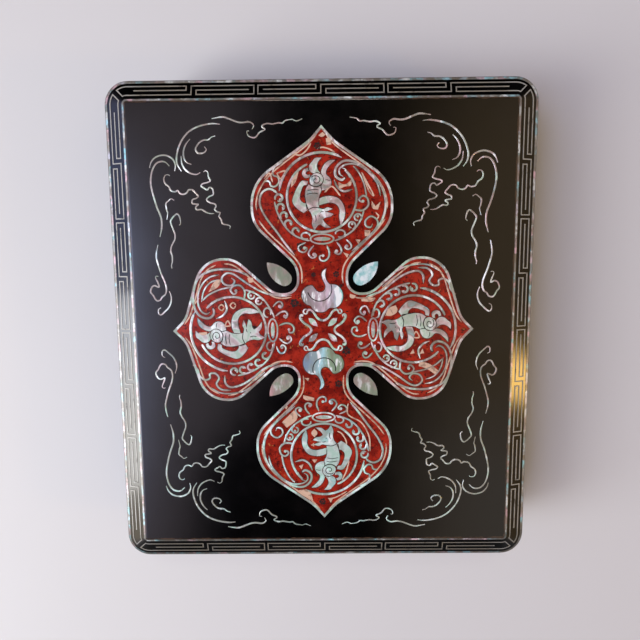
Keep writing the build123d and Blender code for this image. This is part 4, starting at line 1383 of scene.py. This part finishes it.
def flower(x, y, size):
    """The outlines of a flower: a heart, and petals that differ a little, every other one pierced."""
    outlines = []
    for petal in range(PETALS):
        turn = 2 * pi * petal / PETALS + x
        middle = (x + PETAL_PLACE * size * cos(turn), y + PETAL_PLACE * size * sin(turn))
        reach = size * (PETAL_REACH + PETAL_CHANGE * sin(3 * petal + y))
        outlines.append([disc(reach, middle)])
        if petal % 2:
            outlines[-1].append(disc(HEART_SHARE * reach, middle, corners=6))
    outlines.append([disc(HEART_SHARE * size, (x, y), corners=6)])
    return [[[drawn(point) for point in loop] for loop in loops] for loops in outlines]


class BOX_OT_studio(bpy.types.Operator):
    """Makes the floor, the lamps, the world and the camera"""
    bl_idname = "lacquer_box.studio"
    bl_label = "Studio"

    def execute(self, context):
        light = context.scene.studio_light
        make_floor(light)
        make_lamps(light)
        make_world(context.scene)
        make_camera(context.scene, light)
        context.scene.view_settings.view_transform = "Standard"
        return {"FINISHED"}


def make_floor(light):
    """A pale floor under the box."""
    mesh = bpy.data.meshes.new("floor")
    corners = [(side_x * FLOOR_REACH, side_y * FLOOR_REACH, 0.0)
               for side_x, side_y in ((-1, -1), (1, -1), (1, 1), (-1, 1))]
    mesh.from_pydata(corners, [], [(0, 1, 2, 3)])
    coat = Coat("floor", {"IOR": 1.4})
    cloud = coat.noise(0.12, detail=4.0)
    colour = coat.blend(cloud * 0.12, light.floor, FLOOR_CLOUD)
    floor = mesh_object("floor", mesh, coat.paint({"Base Color": colour, "Roughness": 0.7 + 0.1 * cloud}))


def make_lamps(light):
    """Area lamps that point at the box: name, direction from it, distance, width, length, power, colour."""
    lamps = [
        ("key_left", (-0.80, -0.24, 0.58), 1.0, 0.42, 0.66, light.key, (0.98, 1.0, 1.0)),
        ("fill_behind", (0.0, 0.53, 0.85), 1.4, 0.34, 0.10, light.fill, (1.0, 0.95, 0.88)),
        ("warm_spot", (0.80, -0.22, 0.56), 1.0, 0.10, 0.10, light.spot, (1.0, 0.60, 0.16)),
    ]
    for name, direction, distance, width, length, power, colour in lamps:
        data = bpy.data.lights.new(name, "AREA")
        data.shape = "RECTANGLE"
        data.size = width
        data.size_y = length
        data.energy = power
        data.color = colour
        lamp = bpy.data.objects.new(name, data)
        towards = Vector(direction).normalized()
        turned = towards.to_track_quat("Z", "Y").to_matrix().to_4x4()
        lamp.matrix_world = Matrix.Translation(towards * distance) @ turned
        bpy.context.scene.collection.objects.link(lamp)


def make_world(scene):
    """A soft room: dark overhead, bluish and brighter low on the left, warm low on the right."""
    world = bpy.data.worlds.new("room")
    scene.world = world
    room = Finish(world)
    x, y, z = room.axes(room.node("ShaderNodeTexCoord").outputs["Generated"])
    low = 1 - room.rise(z, 0.15, 0.60)
    within = 1 - room.rise(y, 0.15, 0.62)
    towards_front = room.rise(-y, 0.20, 0.40)
    upper = 1 - room.rise(-y, 0.56, 0.74)
    left = room.rise(-x - 0.11 * towards_front, 0.07, 0.21) * within * upper
    window = room.rise(-x, 0.28, 0.46) * (1 - room.rise(y, 0.02, 0.26)) * (1 - room.rise(-y, 0.20, 0.60))
    far_left = room.rise(-x, 0.50, 0.72) * within
    cream = far_left * room.rise(-y, 0.12, 0.30)
    right = room.rise(x, 0.07, 0.32) * within * upper
    far_right = room.rise(x, 0.50, 0.72) * within
    horizon = 1 - room.rise(z, 0.30, 0.46)
    lights = [
        (low, (0.04, 0.04, 0.04)), (left, (0.80, 0.68, 0.76)), (window, (4.20, 4.70, 7.00)),
        (far_left, (0.95, 1.10, 1.90)), (cream, (2.40, 2.05, 1.60)), (right, (0.72, 0.52, 0.31)),
        (right * towards_front, (0.78, 0.67, 0.57)), (far_right, (0.50, 0.34, 0.18)),
        (horizon, (0.42, 0.42, 0.43)),
    ]
    colour = ROOM_DARK
    for mask, light in lights:
        colour = room.blend(mask, colour, light)
    room.feed(room.tree.nodes["Background"].inputs["Color"], colour)


def make_camera(scene, light):
    """The camera at the photograph's viewing angle, over the lid."""
    data = bpy.data.cameras.new("camera")
    data.sensor_width = SENSOR_WIDTH
    data.lens = light.focal
    camera = bpy.data.objects.new("camera", data)
    pitch, yaw, roll = (radians(turn) for turn in CAMERA_TURNS)
    seen = Matrix.Rotation(roll, 3, "Z") @ Matrix.Rotation(pitch, 3, "X") @ Matrix.Rotation(yaw, 3, "Y")
    camera.matrix_world = Matrix.Translation(CAMERA_PLACE) @ seen.transposed().to_4x4()
    scene.collection.objects.link(camera)
    scene.camera = camera


class BOX_PT_panel(bpy.types.Panel):
    """The pieces of the box, in the order in which they are made"""
    bl_idname = "BOX_PT_panel"
    bl_label = "Lacquer Box"
    bl_space_type = "VIEW_3D"
    bl_region_type = "UI"
    bl_category = "Lacquer Box"

    def draw(self, context):
        for operator in OPERATORS:
            self.layout.operator(operator.bl_idname)
        for group in (context.scene.lacquer_colours, context.scene.box_sizes, context.scene.studio_light):
            for setting in group.bl_rna.properties:
                if setting.identifier not in ("rna_type", "name"):
                    self.layout.prop(group, setting.identifier)


OPERATORS = (BOX_OT_studio, BOX_OT_body, BOX_OT_tray, BOX_OT_lid, BOX_OT_border, BOX_OT_quatrefoil,
             BOX_OT_clouds, BOX_OT_roundels, BOX_OT_scrolls, BOX_OT_beasts, BOX_OT_middle, BOX_OT_fillings)
GROUPS = {"lacquer_colours": LacquerColours, "box_sizes": BoxSizes, "studio_light": StudioLight}


def register():
    for group in GROUPS.values():
        bpy.utils.register_class(group)
    for name, group in GROUPS.items():
        setattr(bpy.types.Scene, name, bpy.props.PointerProperty(type=group))
    for operator in OPERATORS:
        bpy.utils.register_class(operator)
    bpy.utils.register_class(BOX_PT_panel)


def unregister():
    bpy.utils.unregister_class(BOX_PT_panel)
    for operator in reversed(OPERATORS):
        bpy.utils.unregister_class(operator)
    for name in GROUPS:
        delattr(bpy.types.Scene, name)
    for group in reversed(GROUPS.values()):
        bpy.utils.unregister_class(group)


def main():
    register()
    for operator in OPERATORS:
        module, name = operator.bl_idname.split(".")
        getattr(getattr(bpy.ops, module), name)()


if __name__ == "__main__":
    main()
